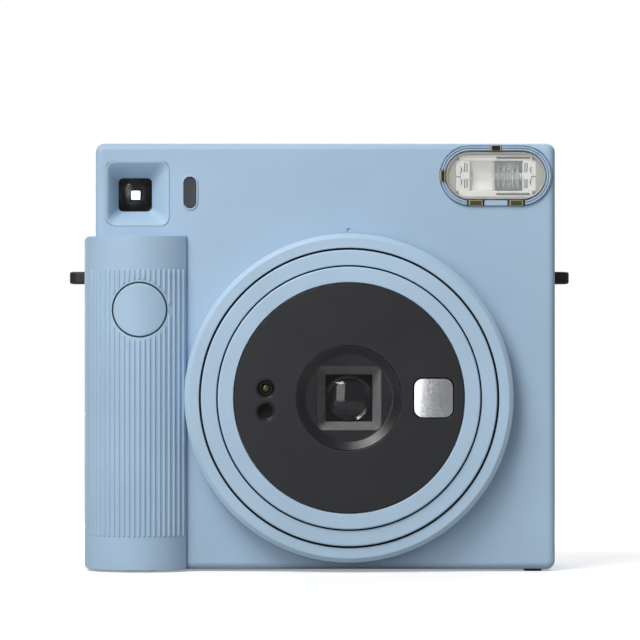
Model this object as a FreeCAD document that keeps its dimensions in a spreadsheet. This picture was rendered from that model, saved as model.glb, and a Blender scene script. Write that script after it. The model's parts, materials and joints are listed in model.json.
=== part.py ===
import FreeCAD, Part
import math
import os
from types import SimpleNamespace

import Sketcher
from FreeCAD import Placement, Rotation, Vector

# Square-format instant camera. Millimetres.
# +Z is up, the lens looks along -Y, and +X is to the right as the lens side is faced.
# The origin lies on the table under the middle of the camera's box.

SIZES = {
    # whole camera
    "body_right": 65.35,
    "body_left": -62.0,
    "grip_left": -65.35,
    "grip_right": -36.8,
    "grip_top": 92.8,
    "body_top": 118.6,
    "shell_bottom": 0.6,
    "face_y": -19.75,
    "seam_y": 0.0,
    "back_y": 26.75,
    "wall": 2.0,
    "corner_radius": 2.4,
    "edge_radius": 2.0,
    "hole_edge": 0.35,
    "slip": 0.05,
    "play": 0.1,
    "recess": 0.2,
    "stand_off": 0.3,
    "ledge": 1.0,
    "gap": 0.35,
    # grip
    "grip_rear": 22.0,
    "grip_arch_radius": 16.2,
    "grip_arch_x": -49.4,
    "grip_crest_y": -27.0,
    "grip_flange_y": -17.75,
    "grip_edge_radius": 1.4,
    # lens unit
    "lens_x": 8.2,
    "lens_z": 48.1,
    "dial_radius": 45.35,
    "dial_front_y": -27.2,
    "dial_back_y": -20.1,
    "dial_face": 2.0,
    "dial_wall": 1.5,
    "dial_neck_radius": 42.9,
    "dial_flange_radius": 44.8,
    "dial_flange": 1.2,
    "dial_edge": 1.0,
    "cover_hole_radius": 43.3,
    "outer_barrel_radius": 40.75,
    "outer_barrel_bore": 36.45,
    "outer_barrel_front_y": -28.0,
    "inner_barrel_radius": 36.1,
    "inner_barrel_front_y": -28.75,
    "inner_barrel_wall": 1.5,
    "barrel_back_y": -12.5,
    "barrel_edge": 0.6,
    "panel_radius": 31.6,
    "panel_front_y": -28.45,
    "panel_thickness": 1.5,
    "barrel_floor_y": -16.0,
    "barrel_floor": 1.4,
    "hood_radius": 14.5,
    "hood_floor_radius": 12.0,
    "hood_floor_y": -27.0,
    "hood_back_y": -21.8,
    "hood_wall": 0.7,
    "hood_square": 17.6,
    "hood_throat": 12.9,
    "front_lens_radius": 6.4,
    "front_lens_y": -23.7,
    "front_lens_back_y": -21.0,
    "front_lens_curve": 12.0,
    "rear_lens_radius": 5.0,
    "rear_lens_y": -16.3,
    "rear_lens_back_y": -13.4,
    "rear_lens_curve": 14.0,
    "holder_radius": 11.5,
    "holder_front_y": -21.6,
    "holder_back_y": -12.9,
    "blade_room_y": -20.0,
    "blade_room_back_y": -16.9,
    "blade_room_radius": 10.9,
    "shutter_plate_y": -18.2,
    "shutter_plate": 0.9,
    "aperture_radius": 2.6,
    "blade": 0.2,
    "blade_pitch": 0.4,
    "blade_pivot_x": 3.5,
    "blade_pivot_z": 7.0,
    "blade_pin_radius": 0.5,
    "blade_overlap": 0.4,
    "blade_outer": 4.6,
    "blade_drop": 4.5,
    "mirror_offset": 23.25,
    "mirror_side": 10.65,
    "mirror_corner": 2.3,
    "mirror_rim": 0.3,
    "sensor_offset": -22.9,
    "sensor_upper": 2.68,
    "sensor_lower": -3.62,
    "sensor_radius": 2.6,
    "sensor_length": 4.4,
    "sensor_dish_share": 0.62,
    # viewfinder
    "finder_x": -50.3,
    "finder_z": 104.6,
    "finder_width": 17.1,
    "finder_height": 17.4,
    "finder_depth": 5.4,
    "finder_mouth": 16.0,
    "tunnel_x": -51.2,
    "tunnel_z": 104.5,
    "tunnel_side": 9.3,
    "tunnel_wall": 1.3,
    "tunnel_back_y": 22.4,
    "tunnel_mask": 1.2,
    "mask_side": 6.2,
    "finder_lens": 3.2,
    "finder_lens_curve": 10.4,
    "finder_lens_middle": 0.8,
    "eyepiece": 1.6,
    "eyepiece_frame_side": 15.4,
    "eyepiece_frame_back_y": 27.9,
    # meter window
    "meter_x": -35.8,
    "meter_z": 104.9,
    "meter_width": 3.44,
    "meter_height": 8.65,
    # flash
    "flash_x": 48.9,
    "flash_z": 109.6,
    "flash_width": 31.1,
    "flash_height": 16.8,
    "flash_front_y": -20.3,
    "flash_bezel_depth": 2.8,
    "window_width": 27.8,
    "window_height": 13.1,
    "window_thickness": 1.5,
    "reflector_width": 24.4,
    "reflector_height": 12.8,
    "reflector_front_y": -17.4,
    "reflector_depth": 8.0,
    "trough_radius": 5.9,
    "trough_width": 22.95,
    "xenon_radius": 1.25,
    "xenon_y": -14.2,
    # shutter button
    "button_x": -49.5,
    "button_z": 72.4,
    "button_radius": 7.35,
    "button_flange_radius": 8.7,
    "button_flange_y": -21.4,
    "button_flange": 0.9,
    "button_stem_radius": 2.6,
    "button_stem_y": -17.2,
    "switch_y": -15.4,
    "switch_cap": 2.0,
    "switch_case_start": 1.4,
    "switch_case_end": 5.0,
    "switch_case_half": 4.0,
    "switch_card": 1.4,
    "switch_card_half": 10.0,
    # film chamber and light tunnel
    "chamber_left": -31.75,
    "chamber_right": 48.25,
    "chamber_bottom": 6.0,
    "chamber_top": 99.0,
    "chamber_front_y": 7.0,
    "chamber_wall": 1.5,
    "image_side": 62.0,
    "tunnel_front_y": -8.0,
    "tunnel_front_side": 22.0,
    "light_tunnel_wall": 1.2,
    # film drive
    "roller_radius": 3.95,
    "roller_pitch": 8.15,
    "film_y": 8.5,
    "roller_z": 105.0,
    "roller_left": -31.5,
    "roller_right": 48.0,
    "shaft_radius": 1.2,
    "fit_clearance": 0.05,
    "bracket_left": -33.3,
    "bracket": 1.3,
    "bracket_front_y": -12.0,
    "bracket_back_y": 17.4,
    "bracket_bottom": 79.0,
    "bracket_top": 111.0,
    "bracket_ledge": 100.9,
    "bracket_bridge_front_y": 12.6,
    "gear_left": -36.3,
    "gear_width": 2.6,
    "tooth_pitch": 1.5708,
    "tooth_height": 0.95,
    "tooth_root": 0.6,
    "idler_y": -3.84,
    "idler_z": 96.36,
    "pinion_y": -5.0,
    "pinion_z": 85.77,
    "motor_radius": 6.0,
    "motor_left": -31.8,
    "motor_length": 20.0,
    "motor_boss_radius": 2.5,
    "claw_x": 50.1,
    "claw": 0.8,
    "claw_y": 12.0,
    "claw_depth": 5.0,
    "claw_bottom": 20.0,
    "claw_height": 42.0,
    "claw_finger_z": 29.0,
    "claw_finger": 1.2,
    "claw_reach": 3.0,
    "claw_travel": 6.0,
    # exit slot and its flap
    "slot_width": 77.0,
    "slot_front_y": 5.6,
    "slot_back_y": 11.4,
    "flap_thickness": 0.8,
    "flap_pin_radius": 0.7,
    "flap_z": 117.2,
    # film door
    "door_left": -38.0,
    "door_right": 61.0,
    "door_bottom": 2.8,
    "door_top": 111.0,
    "door_front_y": 27.05,
    "leaf_half_width": 4.0,
    "leaf_foot": 0.5,
    "leaf_foot_half": 20.0,
    "leaf_crown": 2.0,
    "leaf_crown_half": 5.0,
    "door_back_y": 28.75,
    "door_rim": 1.2,
    "door_rim_inset": 0.8,
    "door_rim_depth": 1.6,
    "door_corner": 3.0,
    "door_hinge_x": -40.5,
    "door_hinge_y": 27.0,
    "door_knuckle_radius": 1.7,
    "door_pin_radius": 0.8,
    "film_window_width": 4.0,
    "film_window_height": 16.0,
    "film_window_x": 30.0,
    "film_window_z": 52.0,
    # latch
    "latch_z": 70.0,
    "latch_height": 14.0,
    "latch_y": 14.0,
    "latch_depth": 7.0,
    "latch_travel": 3.5,
    "latch_thumb": 0.9,
    "latch_ridges": 5,
    "latch_ridge": 0.5,
    "latch_ridge_half": 0.45,
    "latch_ridge_inset": 0.8,
    "latch_neck_inset": 3.0,
    "latch_hook_below": 6.0,
    "latch_hook_above": 2.0,
    # batteries
    "cell_radius": 7.8,
    "cell_length": 27.0,
    "cell_x": -54.3,
    "cell_front_y": -6.9,
    "cell_back_y": 8.9,
    "cell_bottom": 14.6,
    "holder_wall": 1.2,
    "battery_left": -62.4,
    "battery_right": -45.2,
    "battery_front_y": -15.9,
    "battery_rear_y": 18.1,
    "battery_bottom": 11.2,
    "battery_top": 44.6,
    "battery_door_front_y": -14.8,
    "battery_door_bottom": 12.4,
    "battery_door_top": 43.4,
    "battery_door": 1.6,
    "battery_hinge_x": -64.2,
    "battery_hinge_y": 18.0,
    "nail_groove_depth": 0.6,
    "nail_groove_inset": 2.0,
    "nail_groove_width": 1.2,
    "nail_groove_half": 6.0,
    "battery_knuckle_radius": 1.1,
    "battery_pin_radius": 0.5,
    # strap lugs and feet
    "lug_z": 81.7,
    "lug_thickness": 3.4,
    "lug_reach": 5.1,
    "lug_depth": 10.0,
    "lug_y": 4.0,
    "lug_root": 6.0,
    "lug_hole_radius": 1.6,
    "lug_hole_inset": 2.85,
    "foot_left_x": -53.0,
    "foot_left_width": 7.6,
    "foot_right_x": 57.0,
    "foot_right_width": 4.7,
    "foot_depth": 6.0,
    "foot_front_y": -14.0,
    "foot_rear_y": 18.0,
    # counter
    "counter_x": -51.2,
    "counter_z": 78.0,
    "counter_radius": 8.0,
    "counter_y": 22.6,
    "counter_thickness": 1.0,
    "counter_hub": 1.0,
    "counter_window_width": 5.6,
    "counter_window_height": 4.6,
    "counter_window_rise": 4.8,
    # electronics and screws
    "board_left": -9.0,
    "board_right": 62.0,
    "board_y": -8.4,
    "board": 1.6,
    "board_bottom": 83.5,
    "board_top": 98.5,
    "processor_offset": 11.2,
    "processor_half_width": 4.5,
    "processor_height": 1.2,
    "processor_half_length": 4.5,
    "timer_offset": 28.8,
    "timer_half_width": 3.0,
    "timer_height": 1.0,
    "timer_half_length": 2.5,
    "transformer_offset": 48.0,
    "transformer_half_width": 5.0,
    "transformer_height": 5.0,
    "transformer_half_length": 4.0,
    "capacitor_x": 57.0,
    "capacitor_y": -8.0,
    "capacitor_radius": 6.0,
    "capacitor_bottom": 28.0,
    "capacitor_length": 34.0,
    "screw_head_radius": 1.6,
    "screw_head": 1.1,
    "screw_shank_radius": 0.9,
    "screw_length": 7.0,
    "screw_slot": 0.5,
}

ROLLER_TEETH = 16
IDLER_TEETH = 30
PINION_TEETH = 12
TOOTH_SHARE_AT_ROOT = 0.30
TOOTH_SHARE_AT_TIP = 0.15
FULL_TURN = 360
# How far a cutting tool reaches past the wall that it cuts.
PAST = 1
# How closely an edge has to match a place to be picked for rounding.
CLOSE = 0.1


class Dim(float):
    """A length that carries the sheet expression it comes from."""

    def __new__(cls, value, text):
        dim = super().__new__(cls, value)
        dim.text = text
        return dim

    def __add__(self, other):
        return Dim(float(self) + float(other), f"({self.text} + {text_of(other)})")

    def __radd__(self, other):
        return Dim(float(other) + float(self), f"({text_of(other)} + {self.text})")

    def __sub__(self, other):
        return Dim(float(self) - float(other), f"({self.text} - {text_of(other)})")

    def __rsub__(self, other):
        return Dim(float(other) - float(self), f"({text_of(other)} - {self.text})")

    def __mul__(self, other):
        return Dim(float(self) * float(other), f"({self.text} * {text_of(other)})")

    def __rmul__(self, other):
        return Dim(float(other) * float(self), f"({text_of(other)} * {self.text})")

    def __truediv__(self, other):
        return Dim(float(self) / float(other), f"({self.text} / {text_of(other)})")

    def __neg__(self):
        return Dim(-float(self), f"(0 - {self.text})")


def text_of(number):
    return number.text if isinstance(number, Dim) else repr(float(number))


doc = FreeCAD.newDocument("InstantCamera")
sheet = doc.addObject("Spreadsheet::Sheet", "Sizes")
for row, (alias, value) in enumerate(SIZES.items(), 1):
    sheet.set(f"A{row}", alias)
    sheet.set(f"B{row}", str(value))
    sheet.setAlias(f"B{row}", alias)
doc.recompute()
S = SimpleNamespace(**{alias: Dim(value, f"Sizes.{alias}") for alias, value in SIZES.items()})

NODES = []


def node(obj, label):
    """Mark obj as a finished sub-part under the name that its file gets."""
    obj.Label = label
    NODES.append(obj)
    return obj


def bind(obj, **dims):
    """Bind properties to sheet expressions; a double underscore stands for the dot of a path."""
    for path, dim in dims.items():
        obj.setExpression(path.replace("__", "."), text_of(dim))


def place(obj, x=0, y=0, z=0, rotation=None):
    if rotation:
        obj.Placement = Placement(Vector(), rotation)
    bind(obj, Placement__Base__x=x, Placement__Base__y=y, Placement__Base__z=z)
    return obj


# ---- Part primitives ----


def box(name, x, y, z):
    """A block between two X, two Y and two Z positions."""
    block = doc.addObject("Part::Box", name)
    bind(block, Length=x[1] - x[0], Width=y[1] - y[0], Height=z[1] - z[0])
    return place(block, x[0], y[0], z[0])


AXIS_TURN = {
    "X": Rotation(Vector(0, 1, 0), 90),
    "Y": Rotation(Vector(1, 0, 0), -90),
    "Z": Rotation(),
}


def rod(name, axis, centre, radius, span):
    """A cylinder along an axis; centre holds the other two coordinates in X, Y, Z order."""
    cylinder = doc.addObject("Part::Cylinder", name)
    bind(cylinder, Radius=radius, Height=span[1] - span[0])
    spots = {"X": (span[0], *centre), "Y": (centre[0], span[0], centre[1]), "Z": (*centre, span[0])}
    return place(cylinder, *spots[axis], rotation=AXIS_TURN[axis])


def ball(name, centre, radius):
    sphere = doc.addObject("Part::Sphere", name)
    bind(sphere, Radius=radius)
    return place(sphere, *centre)


def funnel(name, centre, front, back, y):
    """A square-sided taper along Y, with the given side lengths (width, height) at its two ends."""
    wedge = doc.addObject("Part::Wedge", name)
    bind(wedge, Xmin=-front[0] / 2, Xmax=front[0] / 2, Zmin=-front[1] / 2, Zmax=front[1] / 2)
    bind(wedge, X2min=-back[0] / 2, X2max=back[0] / 2, Z2min=-back[1] / 2, Z2max=back[1] / 2)
    bind(wedge, Ymin=0.0, Ymax=y[1] - y[0])
    return place(wedge, centre[0], y[0], centre[1])


def fuse(name, *shapes):
    union = doc.addObject("Part::MultiFuse", name)
    union.Shapes = list(shapes)
    union.Refine = True
    return union


def cut(name, base, *tools):
    difference = doc.addObject("Part::Cut", name)
    difference.Base = base
    difference.Tool = tools[0] if len(tools) == 1 else fuse(f"{name}Tools", *tools)
    difference.Refine = True
    return difference


def common(name, first, second):
    shared = doc.addObject("Part::Common", name)
    shared.Base = first
    shared.Tool = second
    return shared


# ---- sketches and PartDesign features ----


def new_body(name):
    return doc.addObject("PartDesign::Body", name)


def sketch(body, role, name, lift=0.0):
    """A sketch on one of the body's origin planes, lifted along the plane's normal."""
    drawing = body.newObject("Sketcher::SketchObject", name)
    plane = next(f for f in body.Origin.OriginFeatures if f.Role == role)
    drawing.AttachmentSupport = [(plane, "")]
    drawing.MapMode = "FlatFace"
    bind(drawing, AttachmentOffset__Base__z=lift)
    return drawing


def fix(drawing, kind, *where):
    """Add a driving constraint whose last argument is a Dim or a number."""
    number = drawing.addConstraint(Sketcher.Constraint(kind, *where[:-1], float(where[-1])))
    drawing.setExpression(f"Constraints[{number}]", text_of(where[-1]))


def pin_down(drawing, element, vertex, x, y):
    fix(drawing, "DistanceX", -1, 1, element, vertex, x)
    fix(drawing, "DistanceY", -1, 1, element, vertex, y)


def outline(drawing, points):
    """A closed outline of straight lines through points given as pairs."""
    first = drawing.GeometryCount
    count = len(points)
    for i in range(count):
        start = Vector(*map(float, points[i]), 0)
        end = Vector(*map(float, points[(i + 1) % count]), 0)
        drawing.addGeometry(Part.LineSegment(start, end), False)
    for i in range(count):
        drawing.addConstraint(Sketcher.Constraint("Coincident", first + i, 2, first + (i + 1) % count, 1))
        pin_down(drawing, first + i, 1, *points[i])
    return drawing


def circle(drawing, x, y, radius):
    centre = Vector(float(x), float(y), 0)
    index = drawing.addGeometry(Part.Circle(centre, Vector(0, 0, 1), float(radius)), False)
    fix(drawing, "Radius", index, radius)
    pin_down(drawing, index, 3, x, y)
    return drawing


def rounded(drawing, centre, width, height, radius):
    """A rectangle with round corners, each corner's arc held by its centre and radius."""
    x, y = centre
    right = x + width / 2 - radius
    left = x - width / 2 + radius
    top = y + height / 2 - radius
    bottom = y - height / 2 + radius
    corners = [(right, top), (left, top), (left, bottom), (right, bottom)]
    first = drawing.GeometryCount
    r = float(radius)
    ends = []
    for i, (cx, cy) in enumerate(corners):
        start = i * math.pi / 2
        arc = Part.ArcOfCircle(
            Part.Circle(Vector(float(cx), float(cy), 0), Vector(0, 0, 1), r), start, start + math.pi / 2
        )
        drawing.addGeometry(arc, False)
        ends.append((arc.StartPoint, arc.EndPoint))
    for i in range(4):
        drawing.addGeometry(Part.LineSegment(ends[i][1], ends[(i + 1) % 4][0]), False)
    for i, (cx, cy) in enumerate(corners):
        arc = first + i
        line = first + 4 + i
        pin_down(drawing, arc, 3, cx, cy)
        fix(drawing, "Radius", arc, radius)
        drawing.addConstraint(Sketcher.Constraint("Tangent", arc, 2, line, 1))
        drawing.addConstraint(Sketcher.Constraint("Tangent", line, 2, first + (i + 1) % 4, 1))
    return drawing


def stadium(drawing, centre, width, height):
    """A rounded rectangle whose ends are all but full half circles."""
    short = height if float(height) < float(width) else width
    return rounded(drawing, centre, width, height, short / 2 - 0.02)


def pad(body, drawing, length, name):
    feature = body.newObject("PartDesign::Pad", name)
    feature.Profile = drawing
    bind(feature, Length=length)
    drawing.Visibility = False
    doc.recompute()
    return feature


def pocket(body, drawing, depth, name, reverse=False):
    """Cut the drawing into the body; a pocket that removes nothing is an error."""
    before = body.Shape.Volume
    feature = body.newObject("PartDesign::Pocket", name)
    feature.Profile = drawing
    feature.Reversed = reverse
    bind(feature, Length=depth)
    drawing.Visibility = False
    doc.recompute()
    if not body.Shape.Volume < before:
        raise RuntimeError(f"{body.Label}: {name} cuts nothing")
    return feature


def round_edges(body, name, radius, wanted):
    """Fillet the edges of the body's tip that wanted() picks."""
    base = body.Tip
    picked = [f"Edge{i}" for i, edge in enumerate(base.Shape.Edges, 1) if wanted(edge)]
    if not picked:
        raise RuntimeError(f"{body.Label}: {name} finds no edge")
    feature = body.newObject("PartDesign::Fillet", name)
    feature.Base = (base, picked)
    bind(feature, Radius=radius)
    doc.recompute()
    return feature


def near(number, target):
    return abs(number - float(target)) < 0.01


def at_depth(y, smallest=0.0):
    """Edges that lie in the plane Y = y and are longer than smallest."""

    def wanted(edge):
        bounds = edge.BoundBox
        return near(bounds.YMin, y) and near(bounds.YMax, y) and edge.Length > smallest

    return wanted


def around(y, centre, width, height):
    """Edges in the plane Y = y that lie within a box about centre, in X and Z."""

    def wanted(edge):
        bounds = edge.BoundBox
        inside_x = abs((bounds.XMin + bounds.XMax) / 2 - float(centre[0])) < float(width) / 2 + CLOSE
        inside_z = abs((bounds.ZMin + bounds.ZMax) / 2 - float(centre[1])) < float(height) / 2 + CLOSE
        small = bounds.XLength < float(width) + CLOSE and bounds.ZLength < float(height) + CLOSE
        return at_depth(y)(edge) and inside_x and inside_z and small

    return wanted


def turned(label, profile, x, z):
    """A ring or disc turned about an axis along Y; the profile's pairs are (radius, Y)."""
    body = new_body(label)
    drawing = outline(sketch(body, "XY_Plane", f"{label}Profile"), profile)
    turn = body.newObject("PartDesign::Revolution", f"{label}Turn")
    turn.Profile = drawing
    turn.ReferenceAxis = (drawing, ["V_Axis"])
    turn.Angle = FULL_TURN
    drawing.Visibility = False
    place(body, x, 0, z)
    doc.recompute()
    return body


def plate(label, shape, y, *arguments):
    """A body padded along Y between two depths, from one closed outline."""
    body = new_body(label)
    drawing = sketch(body, "XZ_Plane", f"{label}Outline", -y[1])
    shape(drawing, *arguments)
    pad(body, drawing, y[1] - y[0], f"{label}Pad")
    return body


def opening(body, name, y, shape, *arguments):
    """Cut one closed outline through the body between two depths."""
    drawing = sketch(body, "XZ_Plane", f"{name}Outline", -y[0])
    shape(drawing, *arguments)
    return pocket(body, drawing, y[1] - y[0], name)


# ---- casing ----


def front_cover():
    body = new_body("FrontShell")
    steps = [
        (S.body_left, S.body_top),
        (S.body_right, S.body_top),
        (S.body_right, S.shell_bottom),
        (S.grip_right, S.shell_bottom),
        (S.grip_right, S.grip_top),
        (S.body_left, S.grip_top),
    ]
    drawing = outline(sketch(body, "XZ_Plane", "FrontOutline", -S.seam_y), steps)
    pad(body, drawing, S.seam_y - S.face_y, "FrontPad")

    def outer_corner(edge):
        bounds = edge.BoundBox
        along = bounds.YLength > 1 and bounds.XLength < 1
        right = near(bounds.XMin, S.body_right)
        top_left = near(bounds.XMin, S.body_left) and near(bounds.ZMin, S.body_top)
        return along and (right or top_left)

    round_edges(body, "FrontCorners", S.corner_radius, outer_corner)

    def rim_edge(edge):
        bounds = edge.BoundBox
        inner = bounds.XMax < float(S.grip_right) + CLOSE and bounds.ZMin < float(S.grip_top) + CLOSE
        left_side = near(bounds.XMin, S.body_left) and near(bounds.XMax, S.body_left)
        return at_depth(S.face_y)(edge) and (not inner or left_side)

    round_edges(body, "FrontEdge", S.edge_radius, rim_edge)
    hollow = [
        (S.body_left + S.wall, S.body_top - S.wall),
        (S.body_right - S.wall, S.body_top - S.wall),
        (S.body_right - S.wall, S.shell_bottom + S.wall),
        (S.grip_right - S.ledge, S.shell_bottom + S.wall),
        (S.grip_right - S.ledge, S.grip_top - S.ledge),
        (S.body_left + S.wall, S.grip_top - S.ledge),
    ]
    through = (S.face_y - PAST, S.seam_y + PAST)
    opening(body, "FrontHollow", (S.face_y + S.wall, S.seam_y + PAST), outline, hollow)
    opening(body, "LensHole", through, circle, S.lens_x, S.lens_z, S.cover_hole_radius)
    finder = (S.finder_x, S.finder_z)
    opening(
        body, "FinderHole", through, rounded, finder,
        S.finder_width + S.play, S.finder_height + S.play, S.corner_radius - 0.7,
    )
    meter = (S.meter_x, S.meter_z)
    opening(body, "MeterHole", through, stadium, meter, S.meter_width + S.play, S.meter_height + S.play)
    flash = (S.flash_x, S.flash_z)
    opening(body, "FlashHole", through, stadium, flash, S.flash_width + S.play, S.flash_height + S.play)
    for name, centre, width, height in (
        ("LensHoleEdge", (S.lens_x, S.lens_z), 2 * S.cover_hole_radius, 2 * S.cover_hole_radius),
        ("FinderHoleEdge", finder, S.finder_width, S.finder_height),
        ("MeterHoleEdge", meter, S.meter_width, S.meter_height),
    ):
        round_edges(body, name, S.hole_edge, around(S.face_y, centre, width, height))
    mark = (S.lens_x, S.lens_z + S.dial_radius + 1.1)
    opening(body, "IndexMark", (S.face_y - PAST, S.face_y + S.stand_off), circle, *mark, S.wall * 0.25)
    half = S.lug_depth / 2
    notch_y = (S.lug_y - half - S.slip, S.seam_y + PAST)
    lug_notch = box_outline(S.body_right - S.wall - PAST, S.body_right + PAST, *lug_span(S.slip))
    opening(body, "LugNotch", notch_y, outline, lug_notch)
    return node(body, "front_cover")


def box_outline(left, right, bottom, top):
    return [(left, bottom), (right, bottom), (right, top), (left, top)]


def lug_span(clearance):
    half = S.lug_thickness / 2 + clearance
    return S.lug_z - half, S.lug_z + half


def rear_cover():
    body = new_body("RearShell")
    steps = [
        (S.body_left, S.body_top),
        (S.body_right, S.body_top),
        (S.body_right, S.shell_bottom),
        (S.grip_left, S.shell_bottom),
        (S.grip_left, S.grip_top),
        (S.body_left, S.grip_top),
    ]
    drawing = outline(sketch(body, "XZ_Plane", "RearOutline", -S.back_y), steps)
    pad(body, drawing, S.back_y - S.seam_y, "RearPad")

    def outer_corner(edge):
        bounds = edge.BoundBox
        along = bounds.YLength > 1 and bounds.XLength < 1
        step = near(bounds.ZMin, S.grip_top) and near(bounds.XMin, S.body_left)
        return along and not step

    round_edges(body, "RearCorners", S.corner_radius, outer_corner)
    round_edges(body, "RearEdge", S.edge_radius, at_depth(S.back_y))
    hollow = [
        (S.body_left + S.wall, S.body_top - S.wall),
        (S.body_right - S.wall, S.body_top - S.wall),
        (S.body_right - S.wall, S.shell_bottom + S.wall),
        (S.grip_left + S.wall, S.shell_bottom + S.wall),
        (S.grip_left + S.wall, S.grip_top - S.wall),
        (S.body_left + S.wall, S.grip_top - S.wall),
    ]
    opening(body, "RearHollow", (S.seam_y - PAST, S.back_y - S.wall), outline, hollow)
    grip_side = box_outline(S.grip_left - PAST, S.grip_right, S.shell_bottom - PAST, S.grip_top)
    opening(body, "GripRoom", (S.seam_y - PAST, S.grip_rear), outline, grip_side)
    through = (S.back_y - S.wall - PAST, S.back_y + PAST)
    wall = S.chamber_wall + S.slip
    back = box_outline(
        S.chamber_left - wall, S.chamber_right + wall, S.chamber_bottom - wall, S.chamber_top + wall
    )
    opening(body, "ChamberHole", through, outline, back)
    eyepiece = (S.tunnel_x, S.tunnel_z)
    side = S.tunnel_side + 2 * S.tunnel_wall + S.play
    opening(body, "EyepieceHole", through, rounded, eyepiece, side, side, S.corner_radius / 2)
    counter = (S.counter_x, S.counter_z + S.counter_window_rise)
    opening(
        body, "CounterHole", through, rounded, counter,
        S.counter_window_width, S.counter_window_height, S.corner_radius / 2,
    )
    groove = S.door_knuckle_radius + S.gap
    hinge_room = box_outline(
        S.door_hinge_x - groove, S.door_hinge_x + groove, S.door_bottom, S.door_top
    )
    opening(body, "HingeRoom", through, outline, hinge_room)
    half = S.lug_depth / 2
    notch_y = (S.seam_y - PAST, S.lug_y + half + S.slip)
    lug_notch = box_outline(S.body_right - S.wall - PAST, S.body_right + PAST, *lug_span(S.slip))
    opening(body, "LugNotch", notch_y, outline, lug_notch)
    shell = fuse("RearShellWithHinge", body, *hinge_knuckles("Cover", cover_knuckle_spans(), -1))
    slot_half = S.slot_width / 2
    slot_x = (S.lens_x - slot_half, S.lens_x + slot_half)
    slot = box(
        "ExitSlot",
        slot_x,
        (S.slot_front_y, S.slot_back_y),
        (S.body_top - S.wall - PAST, S.body_top + PAST),
    )
    latch = box(
        "LatchSlot",
        (S.body_right - S.wall - PAST, S.body_right + PAST),
        (S.latch_y + S.gap * 2, S.latch_y + S.latch_depth - S.gap * 2),
        (S.latch_z - S.latch_travel, S.latch_z + S.latch_height - S.gap * 2),
    )
    pin_bore = rod(
        "RearHingeBore",
        "Z",
        (S.door_hinge_x, S.door_hinge_y),
        S.door_pin_radius,
        (S.door_bottom - PAST, S.door_top + PAST),
    )
    finished = cut("RearCoverFinished", shell, slot, latch, pin_bore, *screw_holes())
    return node(finished, "rear_cover")


def cover_knuckle_spans():
    """Z spans of the hinge knuckles on the rear cover: the two ends and the middle."""
    length = (S.door_top - S.door_bottom) / 8
    middle = (S.door_top + S.door_bottom) / 2
    return [
        (S.door_bottom, S.door_bottom + length),
        (middle - length / 2, middle + length / 2),
        (S.door_top - length, S.door_top),
    ]


def door_knuckle_spans():
    """Z spans of the two knuckles on the door, between those of the cover."""
    spans = cover_knuckle_spans()
    return [
        (spans[0][1] + S.gap, spans[1][0] - S.gap),
        (spans[1][1] + S.gap, spans[2][0] - S.gap),
    ]


def hinge_knuckles(owner, spans, side):
    """Barrels on the hinge line, each with the web that joins it to the plate on its side."""
    pieces = []
    radius = S.door_knuckle_radius
    for i, span in enumerate(spans):
        pieces.append(
            rod(f"{owner}Knuckle{i}", "Z", (S.door_hinge_x, S.door_hinge_y), radius, span)
        )
        if side < 0:
            x = (S.door_hinge_x - radius - S.gap * 2, S.door_hinge_x)
            y = (S.back_y - S.wall, S.back_y)
        else:
            x = (S.door_hinge_x, S.door_left + S.ledge)
            y = (S.door_front_y, S.door_hinge_y + radius)
        pieces.append(box(f"{owner}Web{i}", x, y, span))
    return pieces


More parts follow.
